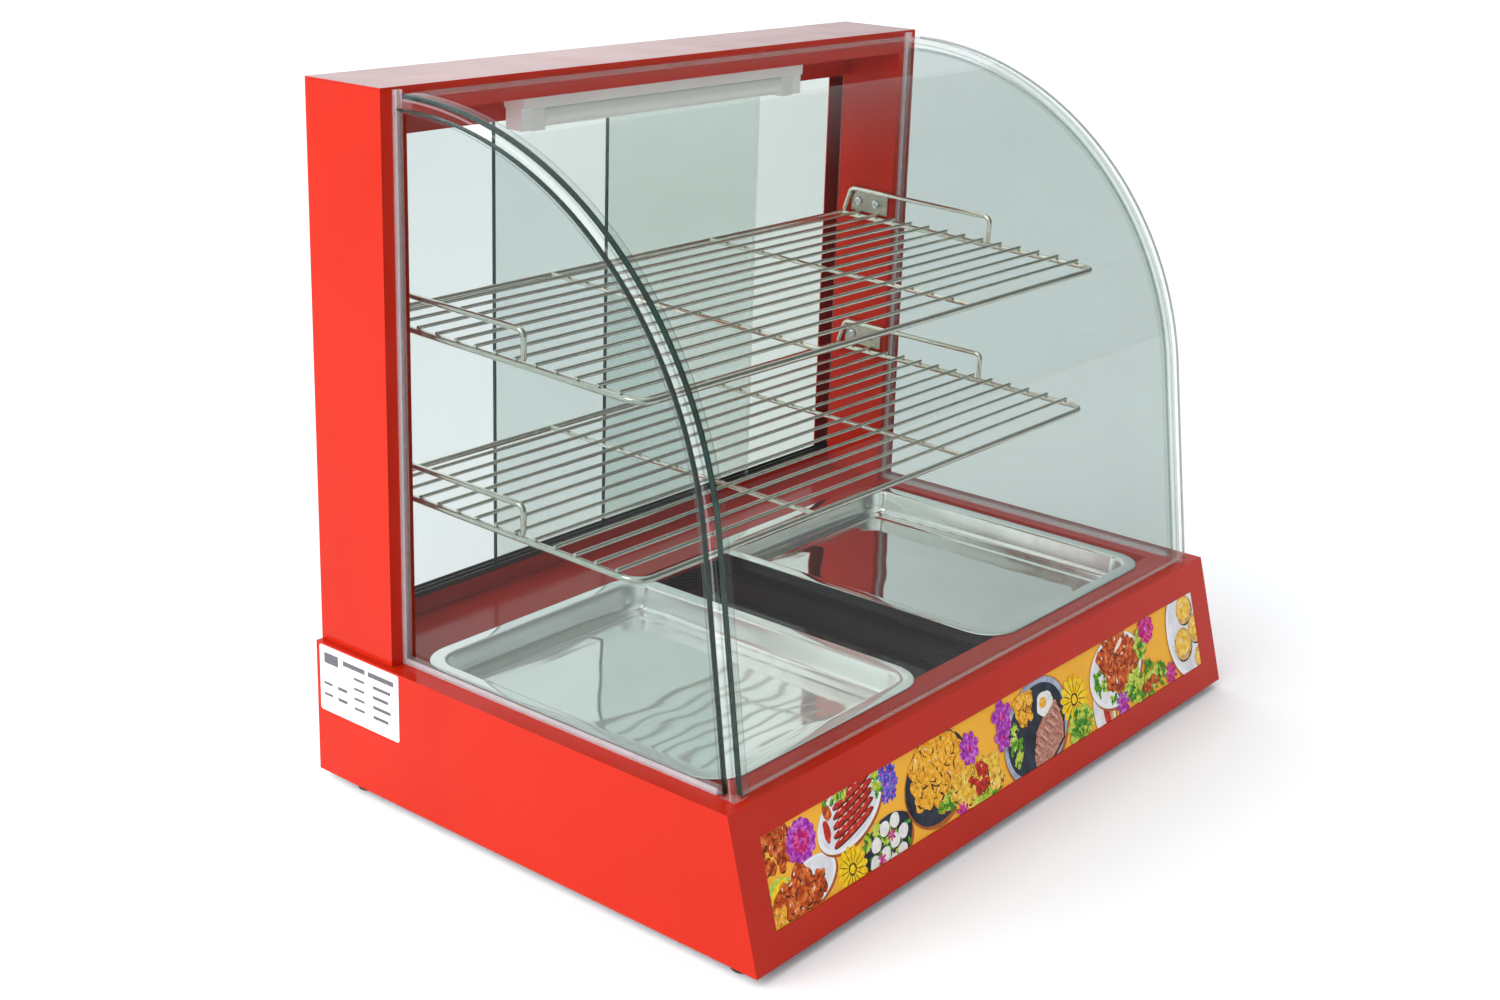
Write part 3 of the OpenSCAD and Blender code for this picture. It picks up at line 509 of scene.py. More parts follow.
for side, node in ((1, "side_glass_right"), (-1, "side_glass_left")):
    a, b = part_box(node)
    rad = b.z - cz
    arc = stations(1, 72)
    outline = [(b.y, a.z)] + [curve_point(rad, s, a.z, math.pi / 2) for s in arc]
    outline.append((b.y, math.sqrt(rad ** 2 - (b.y - cy) ** 2) + cz))
    inner = [(b.y, a.z)] + [curve_point(rad - BAND, s, a.z, math.pi / 2) for s in arc]
    inner.append((b.y, math.sqrt((rad - BAND) ** 2 - (b.y - cy) ** 2) + cz))
    # the right pane's rim and both panes' rear and bottom edges are painted pale: painted light
    kind = 1 if side < 0 else 2
    rim = [2] + [kind] * len(arc) + [2]
    outline_slab(outline, inner, a.x, b.x, "side_pane_" + ("right" if side > 0 else "left"), node, rim)

for which in ("inner", "outer"):
    node = "rear_door_" + which
    a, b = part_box(node)
    c = 0.0006
    # a pane with upright edges chamfered by c
    ring = [(a.x + c, a.y), (b.x - c, a.y), (b.x, a.y + c), (b.x, b.y - c), (b.x - c, b.y),
            (a.x + c, b.y), (a.x, b.y - c), (a.x, a.y + c)]
    v, f = loft([[Vector((x, y, z)) for x, y in ring] for z in (a.z, b.z)], cap=True)
    # the broad faces are clear, the left edge is deep green and the right one is painted pale, a painted
    # light
    idx = [0, 2, 2, 2, 0, 1, 1, 1, 1, 1]
    make("sliding_pane_" + which, v, f, [GLASS, EDGE, EDGE_PAINTED_LIGHT], node, idx,
         replaces=(node,))

# clear strips that hold the front and side glass together
for side, node in ((1, "glass_edge_strip_right"), (-1, "glass_edge_strip_left")):
    a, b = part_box(node)
    outer = max(abs(a.x - MID_X), abs(b.x - MID_X))
    x_in = min(abs(a.x - MID_X), abs(b.x - MID_X))
    gl = hi.x - MID_X
    # the groove that takes the side glass lies between g0 and g1
    g0 = outer - 0.0062
    g1 = outer - 0.0019
    # radius, sideways and what the face from this corner to the next is made of
    back = 3 if side > 0 else 0
    # material 1 marks the pale band that is a painted highlight
    section = [(-12.5, g0, 0), (-12.5, gl + 0.0001, 0), (-5.3, gl + 0.0001, 0), (-5.3, x_in, 2),
               (-4.1, x_in, 0), (-4.1, gl + 0.0001, 0), (0.1, gl + 0.0001, 0), (0.1, x_in, 2),
               (1.2, x_in, 0), (1.2, outer - 0.001, 2), (0.9, outer - 0.0003, 2), (0.2, outer, back),
               (-1.8, outer, 1), (-3.6, outer, 0), (-11.7, outer, 2), (-12.3, outer - 0.0004, 2),
               (-12.5, g1, 0), (-9.8, g1, 0), (-9.8, g0, 0)]
    rings = []
    for s in stations(5, 72):
        ring = []
        for rad, x, _ in section:
            y, z = curve_point(R + rad * MM, s, a.z, math.pi / 2)
            ring.append(Vector((MID_X + side * x, y, z)))
        rings.append(ring)
    v, f = loft(rings, cap=True)
    index = [section[q[0] % len(section)][2] for q in f[:-2]] + [1, 1]
    make("edge_profile_" + ("right" if side > 0 else "left"), v, f,
         [PVC, PVC_PAINTED_HIGHLIGHT, PVC_DARK, PVC_RIM], "cabinet", index, replaces=(node,), smooth=35)


# ---------------------------------------------------------------- trays

def rr(w, l, r, cx, cy_, z, steps=10):
    pts = []
    for qx, qy, a0 in ((1, 1, 0), (-1, 1, 90), (-1, -1, 180), (1, -1, 270)):
        for k in range(steps + 1):
            a = math.radians(a0 + 90 * k / steps)
            pts.append(Vector((cx + qx * (w / 2 - r) + r * math.cos(a),
                               cy_ + qy * (l / 2 - r) + r * math.sin(a), z)))
    return pts


# inset from the rim's outer edge and drop below the rim's top, in millimetres
TRAY = [(0.25, 0.85), (0.0, 0.45), (0.3, 0.08), (1.0, 0.0), (9.6, 0.0), (11.2, 0.25), (12.3, 1.0),
        (12.9, 2.2), (14.6, 15.5), (15.5, 18.6), (17.4, 20.6), (20.5, 21.3), (27.0, 21.3),
        (28.2, 21.0), (29.2, 20.1), (30.4, 20.1), (31.6, 21.0), (32.8, 21.25), (45, 21.2),
        (70, 21.15)]


def tray_piece(node):
    a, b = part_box(node)
    cx, cyy = (a.x + b.x) / 2, (a.y + b.y) / 2
    w, l = b.x - a.x, b.y - a.y
    rings = []
    for inset, drop in TRAY:
        d = inset * MM
        r = max(0.030 - d * 0.9, 0.006)
        rings.append(rr(w - 2 * d, l - 2 * d, r, cx, cyy, b.z - drop * MM))
    v, f = loft(rings)
    f.append(tuple(range(len(v) - len(rings[0]), len(v))))
    ob = make("pressed_" + node, v, f, [TRAY_STEEL[node]], node, smooth=50, replaces=(node,))
    s = ob.modifiers.new("gauge", "SOLIDIFY")
    s.thickness = 0.0006
    s.offset = -1 if ob.data.polygons[-1].normal.z > 0 else 1


def tray_steel(name, painted_light_level, metal):
    """Pressed stainless steel: a bright, gently rippled floor between duller walls; the colour is
    scaled per tray, painted light in one tray and painted shade in the other.
    """
    t = Mat(name)
    dimples = t.bump(t.cells(26, "SMOOTH_F1", t.stretched((1, 1, 0))), 0.18, 0.0010)
    ripples = t.bump(t.noise(11, 1), 0.30, 0.004, dimples)
    grain = t.span(t.noise(1.0, 3, 0.6, t.stretched((5, 500, 5))), 0.8, 1.2)
    normal = t.nt.nodes.new("ShaderNodeNewGeometry").outputs["Normal"]
    flat = t.node("ShaderNodeSeparateXYZ", Vector=normal).outputs["Z"]
    rough = t.maths("MULTIPLY", grain, t.span(flat, 0.20, 0.045, 0.55, 0.98))
    col = t.ramp(t.noise(18, 3), [(0.3, scaled((0.88, 0.89, 0.87), painted_light_level)),
                                  (0.7, scaled((0.95, 0.95, 0.93), painted_light_level))])
    return t.shade(Base_Color=col, Metallic=metal, Roughness=rough, Normal=ripples)


# the same steel in both trays, painted lighter in the left tray (painted light) and darker in the right
# (painted shade)
TRAY_STEEL = {"tray_left": tray_steel("tray_steel_painted_light", 1.04, 0.62),
              "tray_right": tray_steel("tray_steel_painted_shade", 0.84, 1.0)}
for node in ("tray_left", "tray_right"):
    tray_piece(node)


# ---------------------------------------------------------------- shelf rails and screws

def shelf_rails(node):
    a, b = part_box(node)
    tilt = math.radians(1.9 if node.startswith("upper") else 1.2)
    r = 0.00225
    parts = []
    for side in (-1, 1):
        x = MID_X + side * (b.x - a.x - 2 * r) / 2
        front_y = a.y + r
        rear_y = b.y - r
        # the loop rises from the side bar, runs back over it and drops to the rear bar
        p0 = Vector((x, front_y, a.z + 0.0005))
        p2 = Vector((x, rear_y - 0.0075, b.z - r))
        p3 = Vector((x, rear_y, b.z - r - 0.0225))
        run = Vector((0, math.cos(tilt), math.sin(tilt)))
        top_front = p2 - run * (p2.y - (front_y - 0.0006)) / run.y
        parts.append(tube(rounded_path([p0, top_front, p2, p3], 0.006), r, 16))
    v, f = merge(parts)
    make(node.replace("side_rails", "bent_rails"), v, f, [CHROME], "cabinet",
         smooth=60, replaces=(node,))


for node in ("upper_shelf_side_rails", "lower_shelf_side_rails"):
    shelf_rails(node)


def pan_screw(origin, axis, r=0.004, h=0.0026):
    """Pan-head screw with a cross recess, drawn as a turned head with four lobes cut down."""
    a = Vector(axis).normalized()
    u = a.orthogonal().normalized()
    w = a.cross(u)
    sides = 64
    prof = [(r, 0.0), (r, h * 0.35), (r * 0.93, h * 0.68), (r * 0.72, h * 0.9), (r * 0.56, h * 0.97),
            (r * 0.46, h), (r * 0.34, h), (r * 0.22, h), (r * 0.12, h), (r * 0.04, h)]
    rings = []
    for rad, z in prof:
        ring = []
        for k in range(sides):
            t_ = 2 * math.pi * k / sides
            arm = min(abs(math.sin(t_)), abs(math.cos(t_))) * rad
            cut = rad < r * 0.5 and arm < r * 0.11
            depth = h * 0.62 * (1 - rad / (r * 0.62)) + h * 0.18 if cut else 0
            ring.append(Vector(origin) + (u * math.cos(t_) + w * math.sin(t_)) * rad
                        + a * (z - depth))
        rings.append(ring)
    return loft(rings, cap=True)


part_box("shelf_screws")          # only to stop here if the node is missing
parts = []
mesh = nodes["shelf_screws"].data
# every screw head's middle is read from the CAD node: its solids are found by clustering
pts = [Vector(v.co) for v in mesh.vertices]
clusters = []
for p in pts:
    for c in clusters:
        if (p - c[0]).length < 0.014:
            c.append(p)
            break
    else:
        clusters.append([p])
for c in clusters:
    side = 1 if c[0].x > 0 else -1
    inner = min(abs(p.x - MID_X) for p in c)
    heads = [p for p in c if abs(abs(p.x - MID_X) - inner) < 0.0002]
    mid = sum(heads, Vector()) / len(heads)
    parts.append(pan_screw((0.00015 + side * (inner + 0.0026), mid.y, mid.z), (-side, 0, 0)))
    parts.append(tube([Vector((0.00015 + side * (inner + 0.0024), mid.y, mid.z)),
                       Vector((0.00015 + side * (inner + 0.0110), mid.y, mid.z))], 0.0019, 16))
v, f = merge(parts)
make("cross_head_screws", v, f, [SCREW], "cabinet", smooth=35, replaces=("shelf_screws",))


# ---------------------------------------------------------------- printed panel

blo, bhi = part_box("base_housing")
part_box("graphic_panel")         # only to stop here if the node is missing
SLOPE_RUN = 0.030       # how far the front face leans back over the base's height
SLOPE = math.atan2(SLOPE_RUN, bhi.z - blo.z)
up_v = Vector((0, math.sin(SLOPE), math.cos(SLOPE)))
in_v = Vector((0, math.cos(SLOPE), -math.sin(SLOPE)))
foot = Vector((MID_X, blo.y, blo.z))
PANEL_D = 1.3           # how deep the print lies behind the front face, in millimetres
INK_D = 0.03            # the first ink's height over the print, in millimetres
ALL_INKS = 1.05         # the height of all layers of ink together, in millimetres


def food(name, scale, stops):
    """A printed colour that wanders between its stops, each a place on the ramp and a colour."""
    t = Mat(name)
    col = t.ramp(t.noise(scale, 6, 0.65), [(at, (r, g, b, 1)) for at, r, g, b in stops])
    return t.shade(Base_Color=col, Roughness=0.24, Specular_IOR_Level=0.05)


# how fine each print colour's mottle is, then its stops
PRINT = {
    "shadow": (60, (0.3, 0.35, 0.08, 0.02), (0.7, 0.50, 0.14, 0.04)),
    "plate": (60, (0.3, 0.62, 0.62, 0.68), (0.7, 0.90, 0.90, 0.92)),
    "plate_rim": (90, (0.3, 0.78, 0.78, 0.84), (0.7, 0.95, 0.95, 0.97)),
    "pan": (60, (0.3, 0.010, 0.014, 0.022), (0.7, 0.05, 0.06, 0.09)),
    "pan_rim": (120, (0.3, 0.20, 0.24, 0.34), (0.7, 0.55, 0.60, 0.70)),
    "sausage": (240, (0.32, 0.28, 0.010, 0.008), (0.6, 0.66, 0.045, 0.03), (0.75, 0.90, 0.25, 0.18)),
    "fried": (320, (0.3, 0.50, 0.13, 0.01), (0.5, 0.90, 0.42, 0.03), (0.7, 0.99, 0.70, 0.12)),
    "roast": (210, (0.32, 0.14, 0.010, 0.004), (0.5, 0.55, 0.08, 0.015), (0.68, 0.92, 0.32, 0.08)),
    "steak": (420, (0.3, 0.22, 0.06, 0.04), (0.5, 0.50, 0.22, 0.16), (0.7, 0.72, 0.42, 0.34)),
    "green": (330, (0.32, 0.010, 0.07, 0.006), (0.5, 0.06, 0.26, 0.02), (0.7, 0.30, 0.58, 0.06)),
    "lime": (330, (0.3, 0.22, 0.36, 0.02), (0.5, 0.50, 0.62, 0.06), (0.7, 0.80, 0.84, 0.30)),
    "violet": (300, (0.32, 0.16, 0.008, 0.20), (0.5, 0.42, 0.04, 0.44), (0.7, 0.80, 0.28, 0.78)),
    "magenta": (300, (0.32, 0.26, 0.004, 0.07), (0.5, 0.60, 0.02, 0.20), (0.7, 0.90, 0.22, 0.50)),
    "bluebell": (300, (0.32, 0.03, 0.02, 0.26), (0.5, 0.12, 0.09, 0.55), (0.7, 0.45, 0.36, 0.85)),
    "petal": (300, (0.30, 0.75, 0.34, 0.004), (0.5, 0.95, 0.62, 0.01), (0.7, 0.99, 0.82, 0.08)),
    "egg": (160, (0.3, 0.70, 0.68, 0.66), (0.7, 0.96, 0.95, 0.93)),
    "yolk": (160, (0.3, 0.75, 0.26, 0.01), (0.7, 0.98, 0.62, 0.06)),
    "custard": (200, (0.32, 0.55, 0.22, 0.02), (0.5, 0.90, 0.55, 0.06), (0.7, 0.98, 0.82, 0.30)),
    "crust": (300, (0.32, 0.45, 0.20, 0.04), (0.7, 0.90, 0.62, 0.26)),
    "dark": (300, (0.3, 0.02, 0.008, 0.004), (0.7, 0.12, 0.04, 0.02)),
    "gleam": (200, (0.3, 0.85, 0.55, 0.42), (0.7, 0.98, 0.88, 0.80)),
}
INKS = {key: food("print_" + key, scale, stops) for key, (scale, *stops) in PRINT.items()}
ink_names = list(INKS)
rnd = random.Random(11)
art = []
# the window's edges on the sloping face, in millimetres from its foot's middle
U0, U1, V0, V1 = -302.6, 302.6, 22.9, 89.1


def clip(poly):
    """The part of a convex or gently concave shape that shows in the window."""
    for axis, lim, keep in ((0, U0, 1), (0, U1, -1), (1, V0, 1), (1, V1, -1)):
        out = []
        for i, p in enumerate(poly):
            q = poly[(i + 1) % len(poly)]
            ip = (p[axis] - lim) * keep >= 0
            iq = (q[axis] - lim) * keep >= 0
            if ip:
                out.append(p)
            if ip != iq:
                k = (lim - p[axis]) / (q[axis] - p[axis])
                out.append((p[0] + (q[0] - p[0]) * k, p[1] + (q[1] - p[1]) * k))
        poly = out
        if len(poly) < 3:
            return []
    return poly


layer_now = [0]
ANY_WAY = 6.28          # nearly a full turn, for random directions


def ink(kind, poly):
    poly = clip(poly)
    if len(poly) >= 3:
        layer_now[0] += 1
        art.append((kind, poly, layer_now[0]))


def ring_pts(cx, cy_, rx, ry, rot=0.0, n=32, wob=0.0, teeth=0, depth=0.0):
    """A wobbly oval, with a toothed edge if teeth are given."""
    out = []
    ph = rnd.random() * ANY_WAY
    for k in range(n):
        a = 2 * math.pi * k / n
        waves = math.sin(3 * a + ph) * 0.5 + math.sin(5 * a + 2 * ph) * 0.35
        m = 1 + wob * (waves + (rnd.random() - 0.5) * 0.5)
        if teeth:
            m *= 1 - depth * (0.5 + 0.5 * math.cos(teeth * a))
        x, y = rx * m * math.cos(a), ry * m * math.sin(a)
        c, s = math.cos(rot), math.sin(rot)
        out.append((cx + x * c - y * s, cy_ + x * s + y * c))
    return out


def blob(kind, cx, cy_, rx, ry, rot=0.0, wob=0.10, n=26, **kw):
    ink(kind, ring_pts(cx, cy_, rx, ry, rot, n, wob, **kw))


def flower(kind, cx, cy_, r, petals, core="petal", slim=0.34):
    turn = rnd.random() * 3
    for k in range(petals):
        a = turn + 2 * math.pi * k / petals
        blob(kind, cx + math.cos(a) * r * 0.58, cy_ + math.sin(a) * r * 0.58,
             r * 0.46, r * slim * 0.62, a, 0.08, 16)
    blob(core, cx, cy_, r * 0.22, r * 0.22, 0, 0.1, 14)


def daisy(cx, cy_, r):
    for k in range(15):
        a = 2 * math.pi * k / 15
        blob("petal", cx + math.cos(a) * r * 0.6, cy_ + math.sin(a) * r * 0.6,
             r * 0.44, r * 0.19, a, 0.05, 12)
    for k in range(15):
        a = 2 * math.pi * (k + 0.5) / 15
        blob("dark", cx + math.cos(a) * r * 0.55, cy_ + math.sin(a) * r * 0.55,
             r * 0.30, r * 0.022, a, 0.05, 8)
    blob("dark", cx, cy_, r * 0.27, r * 0.27, 0, 0.06, 18)
    blob("petal", cx, cy_, r * 0.19, r * 0.19, 0, 0.1, 14)


def leaves(cx, cy_, rx, ry, count, kinds=("green", "lime")):
    for _ in range(count):
        a = rnd.random() * ANY_WAY
        d = rnd.random() ** 0.6
        blob(kinds[rnd.random() < 0.4], cx + math.cos(a) * rx * d, cy_ + math.sin(a) * ry * d,
             3.2 + rnd.random() * 3.2, 1.6 + rnd.random() * 1.8, rnd.random() * 3.1, 0.12, 20,
             teeth=6, depth=0.35)


def plate(cx, cy_, rx, ry, rot=0.0, kind="plate", rim="plate_rim"):
    blob("shadow", cx + 1.2, cy_ - 1.6, rx * 1.03, ry * 1.03, rot, 0.01, 48)
    blob(rim, cx, cy_, rx, ry, rot, 0.0, 56)
    blob(kind, cx, cy_, rx * 0.90, ry * 0.88, rot, 0.0, 56)


def heap(kind, cx, cy_, rx, ry, count, size, gleam=True):
    for _ in range(count):
        a = rnd.random() * ANY_WAY
        d = rnd.random() ** 0.55
        x, y = cx + math.cos(a) * rx * d, cy_ + math.sin(a) * ry * d
        s = size * (0.7 + 0.6 * rnd.random())
        w = rnd.random() * 3.1
        blob("dark", x + 0.35, y - 0.5, s * 1.02, s * 0.64, w, 0.16, 20)
        blob(kind, x, y, s, s * 0.62, w, 0.16, 22)
        if gleam and rnd.random() < 0.45:
            blob("gleam", x - s * 0.2, y + s * 0.2, s * 0.26, s * 0.09, w, 0.2, 10)


# left end: fried pieces and a violet flower over a corner dish
heap("roast", -290, 77, 19, 15, 40, 5.4)
leaves(-262, 52, 8, 6, 8)
flower("violet", -262, 71, 16, 13, "magenta", 0.5)
flower("magenta", -262, 71, 9, 9, "violet", 0.5)
plate(-262, 39, 32, 17, 0.2)
blob("lime", -294, 44, 15, 12, 0.3, 0.10)
blob("petal", -292, 46, 9, 6, 0.5, 0.15)
heap("roast", -270, 38, 26, 13, 46, 7.4)
heap("fried", -294, 28, 8, 6, 12, 5.0)
# oval plate of sausages
plate(-206, 72, 40, 23, 0.28)
for k in range(5):
    x, y = -205 + 1.2 * k, 60.0 + 6.6 * k
    blob("dark", x + 0.7, y - 1.0, 25.5, 3.7, 0.26, 0.02, 40)
    blob("sausage", x, y, 25, 3.5, 0.26, 0.03, 40)
    for q in (-16, -9, -2, 6, 13):
        blob("gleam", x + q * 0.97, y + q * 0.26 + 1.2, 2.3, 0.5, 0.26, 0.1, 8)
blob("sausage", -234, 67, 3.6, 8.5, 0.1, 0.1)
blob("roast", -231, 80, 4.4, 6.5, 0.4, 0.1)
leaves(-220, 87, 12, 3, 10)
# blue flowers beside it
for dx, dy, r in ((0, 0, 8), (7, 7, 7), (-4, 9, 6.5), (5, -8, 6), (10, -1, 5), (-3, -9, 5)):
    flower("bluebell", -162 + dx, 76 + dy, r, 7, "violet", 0.42)
leaves(-171, 80, 5, 9, 9)
# dish of pale eggs with herbs
blob("shadow", -170, 32, 32, 21, 0.2, 0.02, 48)
blob("pan", -170, 34, 31, 20, 0.2, 0.05, 48)
leaves(-170, 36, 29, 18, 60)
for dx, dy in ((-15, 3), (-3, 11), (10, 13), (-6, -7), (7, -1), (18, 2), (-19, -9), (2, -15), (14, -11)):
    blob("dark", -169 + dx + 0.5, 35 + dy - 0.9, 6.2, 5.6, 0.4, 0.05, 22)
    blob("egg", -169 + dx, 35 + dy, 6.0, 5.4, 0.4, 0.05, 22)
flower("magenta", -165, 39, 5, 6, "violet")
flower("magenta", -180, 26, 5, 6, "violet")
daisy(-214, 32, 17)
# dark dish of golden fried pieces
blob("shadow", -101, 58, 43, 34, 0.25, 0.01, 48)
blob("pan", -101, 60, 42, 33, 0.25, 0.02, 48)
heap("fried", -98, 62, 33, 25, 90, 10.0)
leaves(-90, 37, 15, 5, 22)
flower("violet", -57, 67, 13, 8, "magenta", 0.5)
# yellow and red cluster
heap("custard", -52, 38, 34, 17, 90, 5.6, False)
heap("sausage", -50, 42, 12, 10, 16, 4.6)
flower("custard", -70, 36, 9, 10, "petal")
flower("custard", -28, 46, 9, 10, "petal")
flower("magenta", -77, 24, 8, 8, "violet")
leaves(-50, 25, 22, 3, 12)
# black pan with steak, egg and greens
plate(35, 51, 49, 38, 0.35, "pan", "pan_rim")
leaves(4, 48, 7, 17, 34)
heap("fried", 22, 73, 11, 11, 34, 5.4)
STEAK = ((-31, -12), (-26, -17), (16, -18), (25, -8), (29, 12), (22, 17), (-8, 14), (-24, 2))
for kind, grow, du in (("dark", 1.05, 1.0), ("steak", 1.0, 0.0)):
    ink(kind, [(48 + du + grow * (x * 0.86 - y * 0.5), 41 - du + grow * (x * 0.5 + y * 0.86))
               for x, y in STEAK])
for k in range(7):
    blob("dark", 28 + 6.4 * k, 33 + 4.0 * k, 7.5, 0.35, -0.75, 0.0, 8)
    blob("gleam", 31 + 6.4 * k, 34 + 4.0 * k, 5.0, 0.30, -0.75, 0.0, 8)
blob("egg", 51, 68, 12, 9.5, 0.2, 0.12, 30)
blob("yolk", 49, 69, 5.2, 4.4, 0, 0.03, 22)
blob("gleam", 47.6, 70.4, 1.5, 0.8, 0.4, 0.1, 10)
flower("violet", -9, 76, 14, 5, "magenta", 0.6)
flower("violet", -12, 60, 11, 5, "magenta", 0.6)
daisy(94, 57, 20)
leaves(98, 34, 20, 15, 80, ("lime", "green"))
plate(136, 33, 16, 26, 0.1)
blob("sausage", 139, 34, 5, 20, 0.1, 0.05)
blob("egg", 131, 36, 3.2, 19, 0.06, 0.05)
blob("crust", 146, 34, 3.0, 18, 0.08, 0.06)
# bowl with a roast
plate(163, 61, 43, 30, 0.12, "plate")
leaves(162, 54, 37, 21, 80)
heap("roast", 168, 68, 27, 22, 60, 10.0)
blob("gleam", 172, 80, 9, 2.2, 0.5, 0.3, 14)
leaves(206, 71, 9, 13, 30, ("lime", "green"))
flower("magenta", 219, 80, 13, 9, "violet", 0.5)
# salad
leaves(207, 37, 38, 15, 120, ("lime", "green"))
heap("roast", 214, 32, 15, 5, 14, 3.8, False)
flower("violet", 166, 30, 11, 8, "magenta")
flower("magenta", 250, 31, 10, 9, "violet")
# white plate of small yellow tarts
plate(284, 60, 32, 42, 0.1)
for dx, dy, r in ((-7, -9, 15.5), (2, 20, 14), (19, -1, 14.5), (21, -28, 12)):
    blob("dark", 284 + dx + 0.8, 58 + dy - 1.2, r, r * 0.95, 0, 0.02, 32)
    blob("crust", 284 + dx, 58 + dy, r, r * 0.95, 0, 0.02, 40, teeth=18, depth=0.05)
    blob("custard", 284 + dx, 58 + dy + 0.9, r * 0.80, r * 0.72, 0, 0.03, 32)
    blob("gleam", 284 + dx - 2.5, 58 + dy + 4.0, 3.0, 1.0, 0.3, 0.2, 10)

step = ALL_INKS / layer_now[0]
quads, index = [], []
for kind, poly, layer in art:
    quads.append([foot + Vector((u * MM, 0, 0)) + up_v * (v_ * MM)
                  + in_v * ((PANEL_D - INK_D - step * layer) * MM) for u, v_ in poly])
    index.append(ink_names.index(kind))
film("printed_food_picture", quads, [INKS[k] for k in ink_names], index)


# ---------------------------------------------------------------- blank rating label

llo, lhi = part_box("rating_label")
LABEL_IN = 0.00004      # how far the foil's face lies inside the CAD label's
INK_IN = 0.00002        # and the ink's
corner = 0.002
outline = [(lhi.y - corner + corner * math.cos(a), lhi.z - corner + corner * math.sin(a))
           for a in [math.pi / 2 * k / 6 for k in range(7)]]
outline += [(llo.y + lhi.y - y, z) for y, z in reversed(outline)]
outline += [(y, llo.z + lhi.z - z) for y, z in reversed(outline)]
v, f = loft([[Vector((x, y, z)) for y, z in outline] for x in (llo.x + LABEL_IN, lhi.x)], cap=True)
make("foil_label", v, f, [LABEL], "cabinet", replaces=("rating_label",))


def label_rect(y0, y1, z0, z1):
    x = llo.x + INK_IN
    return [(x, lhi.y - y0, llo.z + z0), (x, lhi.y - y1, llo.z + z0),
            (x, lhi.y - y1, llo.z + z1), (x, lhi.y - y0, llo.z + z1)]


rects = []
H, W = lhi.z - llo.z, lhi.y - llo.y
# blank bars and thin rules where print would stand, which spell nothing: from and to across the
# label, the drop from its top and the height, each as a part of the label's width or height
for y0, y1, drop, tall in (
        [(0.30, 0.58, 0.12, 0.075), (0.62, 0.94, 0.12, 0.075), (0.06, 0.24, 0.10, 0.16)]
        + [(0.44, 0.57, 0.30 + 0.15 * k, 0.040) for k in range(4)]
        + [(0.68, 0.90 - 0.03 * (k % 2), 0.30 + 0.15 * k, 0.050) for k in range(4)]
        + [(0.05, 0.16, 0.55 + 0.17 * k, 0.040) for k in range(2)]
        + [(0.23, 0.35, 0.55 + 0.17 * k, 0.050) for k in range(2)]
        + [(0.66, 0.93, 0.37 + 0.15 * k, 0.008) for k in range(4)]
        + [(0.21, 0.38, 0.62 + 0.17 * k, 0.008) for k in range(2)]):
    rects.append(label_rect(W * y0, W * y1, H * (1 - drop - tall), H * (1 - drop)))
film("label_rules", rects, [INK])


# ---------------------------------------------------------------- thermostat dial marks

dlo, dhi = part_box("thermostat_dial")
dc = Vector(((dlo.x + dhi.x) / 2, dhi.y + 0.00003, (dlo.z + dhi.z) / 2))
rects = []


def dial_mark(angle, r0, r1, w):
    a = math.radians(90 - angle)
    # seen from behind the case, clockwise from the top
    d = Vector((-math.cos(a), 0, math.sin(a)))
    n = Vector((d.z, 0, -d.x))
    return [dc + d * r0 + n * w, dc + d * r1 + n * w, dc + d * r1 - n * w, dc + d * r0 - n * w]


for k in range(31):
    long_one = k % 5 == 0
    reach, half = (0.0276, 0.0005) if long_one else (0.0252, 0.0003)
    rects.append(dial_mark(k * 10, 0.0226, reach, half))
film("dial_marks", rects, [DIAL_INK])


# ---------------------------------------------------------------- softened CAD edges

for name, w in (("base_housing", 0.0007), ("top_hood", 0.0006), ("left_column", 0.0007),
                ("right_column", 0.0007), ("rear_sill", 0.0005),
                ("lamp_housing", 0.0008), ("lamp_sockets", 0.0012), ("thermostat_knob", 0.0006),
                ("power_switch_rocker", 0.0005), ("light_switch_rocker", 0.0005),
                ("power_switch_body", 0.0004), ("light_switch_body", 0.0004),
                ("upper_shelf_brackets", 0.0003), ("lower_shelf_brackets", 0.0003),
                ("door_track_bottom", 0.0003), ("rubber_feet", 0.0006), ("cable_gland", 0.0005)):
    bevel(nodes[name], w)


# ---------------------------------------------------------------- stage, light and camera

t = Mat("pale_floor")
FLOOR = t.shade(Base_Color=t.ramp(t.noise(1.5, 3), [(0.3, (0.90, 0.905, 0.91, 1)),
                                                    (0.7, (0.93, 0.93, 0.93, 1))]), Roughness=0.6)
bpy.ops.mesh.primitive_plane_add(size=40, location=(0, 0, 0))
floor = bpy.context.object
floor.name = "floor"
floor.data.materials.append(FLOOR)

world = bpy.data.worlds.new("studio")
bpy.context.scene.world = world
world.use_nodes = True
wt = world.node_tree
sky = wt.nodes["Background"]
sky.inputs[0].default_value = (0.97, 0.985, 1.0, 1)


def sky_maths(operation, a, b):
    n = wt.nodes.new("ShaderNodeMath")
    n.operation = operation
    for socket, value in zip(n.inputs, (a, b)):
        if isinstance(value, bpy.types.NodeSocket):
            wt.links.new(value, socket)
        else:
            socket.default_value = value
    return n.outputs[0]


def sky_gradient(weights, middle, least, most):
    """Brightness that changes evenly across the sky, between two limits."""
    n = wt.nodes.new("ShaderNodeVectorMath")
    n.operation = "DOT_PRODUCT"
    wt.links.new(sky_way, n.inputs[0])
    n.inputs[1].default_value = weights
    level = sky_maths("ADD", n.outputs["Value"], middle)
    return sky_maths("MINIMUM", sky_maths("MAXIMUM", level, least), most)


sky_way = wt.nodes.new("ShaderNodeTexCoord").outputs["Generated"]
# a soft surround, brighter to the left and behind, darker to the right front
level = sky_gradient((-0.92, 0.96, 0.32), 1.06, 0.26, 3.0)
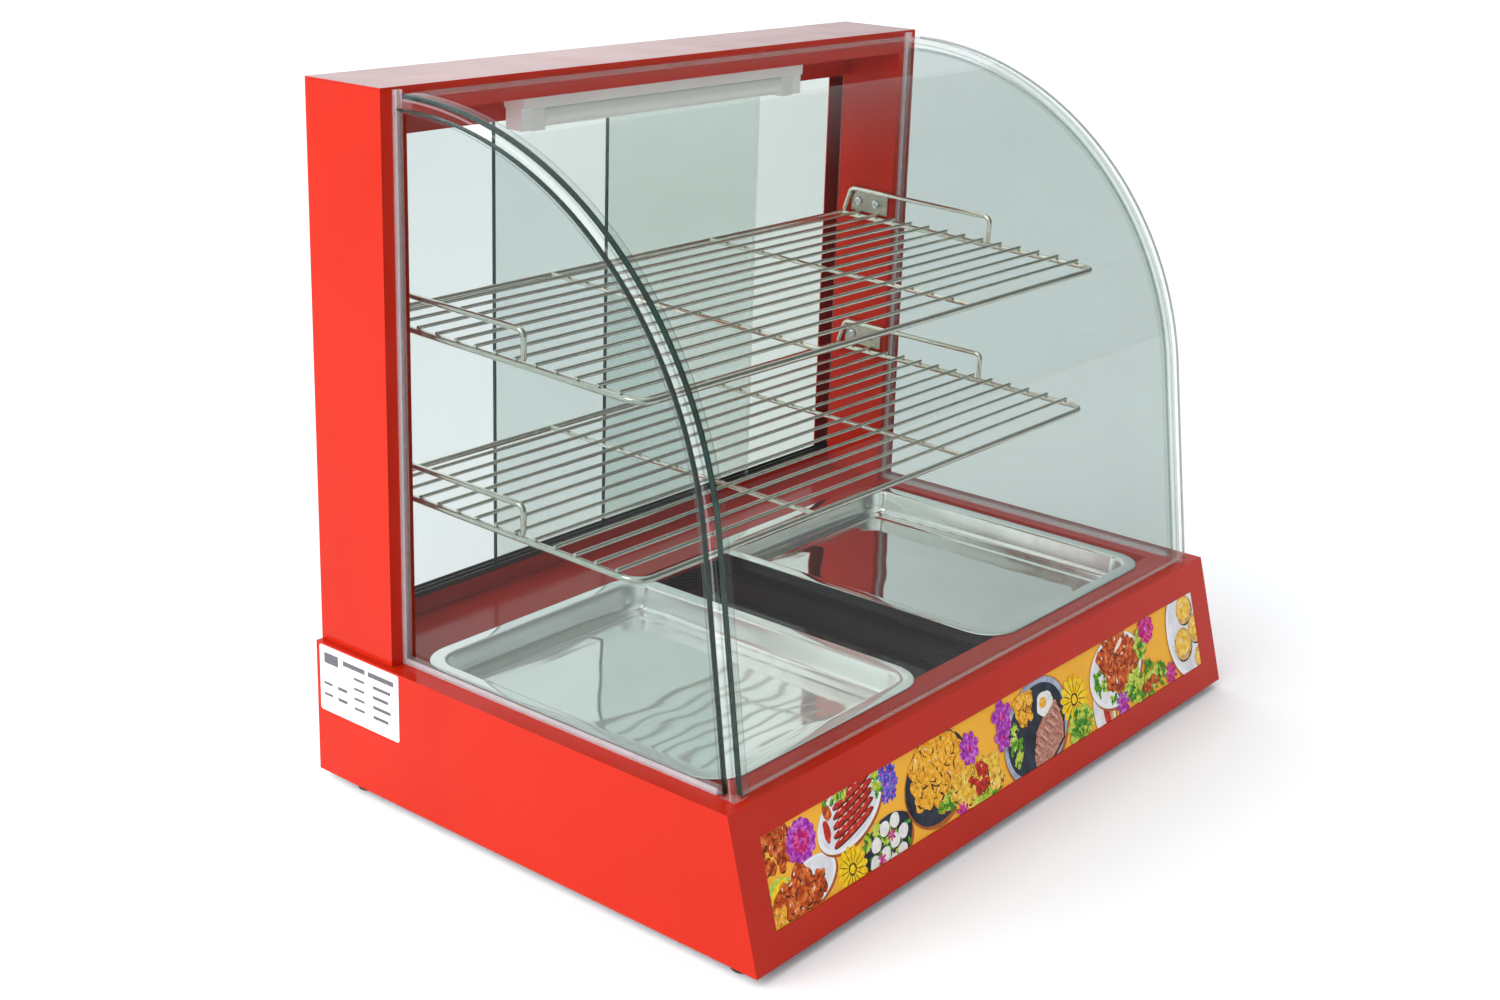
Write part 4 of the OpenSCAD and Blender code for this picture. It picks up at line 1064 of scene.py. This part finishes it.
# glossy surfaces mirror a sky of their own, and the backdrop itself is white
rays = wt.nodes.new("ShaderNodeLightPath").outputs
mirrored = sky_gradient((-1.6, 1.9, 0.6), 1.15, 0.25, 1.45)
not_glossy = sky_maths("SUBTRACT", 1.0, rays["Is Glossy Ray"])
soft = sky_maths("ADD", sky_maths("MULTIPLY", level, not_glossy),
                 sky_maths("MULTIPLY", mirrored, rays["Is Glossy Ray"]))
seen = sky_maths("MAXIMUM", soft, rays["Is Camera Ray"])
wt.links.new(seen, sky.inputs[1])


LAMP_AT = Vector((-1.9, 0.5, 1.5))
LAMP_TO = Vector((-0.35, 0.05, 0.1))
softbox = bpy.data.lights.new("softbox_left", "AREA")
softbox.energy = 18
softbox.shape = "RECTANGLE"
softbox.size = 1.2
softbox.size_y = 1.2
softbox_left = bpy.data.objects.new("softbox_left", softbox)
softbox_left.location = LAMP_AT
softbox_left.rotation_euler = (LAMP_TO - LAMP_AT).to_track_quat("-Z", "Y").to_euler()
bpy.context.scene.collection.objects.link(softbox_left)

cam = bpy.data.cameras.new("camera")
cam.sensor_width = 36
cam.lens = 48.5256
cam.shift_y = -0.06
camera = bpy.data.objects.new("camera", cam)
bpy.context.scene.collection.objects.link(camera)
# the camera's turn as an axis whose length is the angle, and its place from the case's front foot
TURN = Vector((1.73993345, -0.79494675, 0.63298477))
EYE = (-1.2527, -0.72505, 0.74798)
turn = Matrix.Rotation(TURN.length, 3, TURN.normalized())
right, up, ahead = turn[0], -turn[1], turn[2]
m = Matrix((right, up, -ahead)).transposed().to_4x4()
half_depth = (cad_box[1][1] - cad_box[0][1]) / 2
m.translation = Vector((EYE[0] + MID_X, EYE[1] - half_depth, EYE[2] + FOOT_H))
camera.matrix_world = m
bpy.context.scene.camera = camera
bpy.context.scene.view_settings.view_transform = "Standard"
bpy.context.scene.view_settings.look = "None"
# the panes, strips and doors stand one behind another, so a ray passes many clear faces
bpy.context.scene.cycles.transparent_max_bounces = 40

bpy.context.view_layer.update()
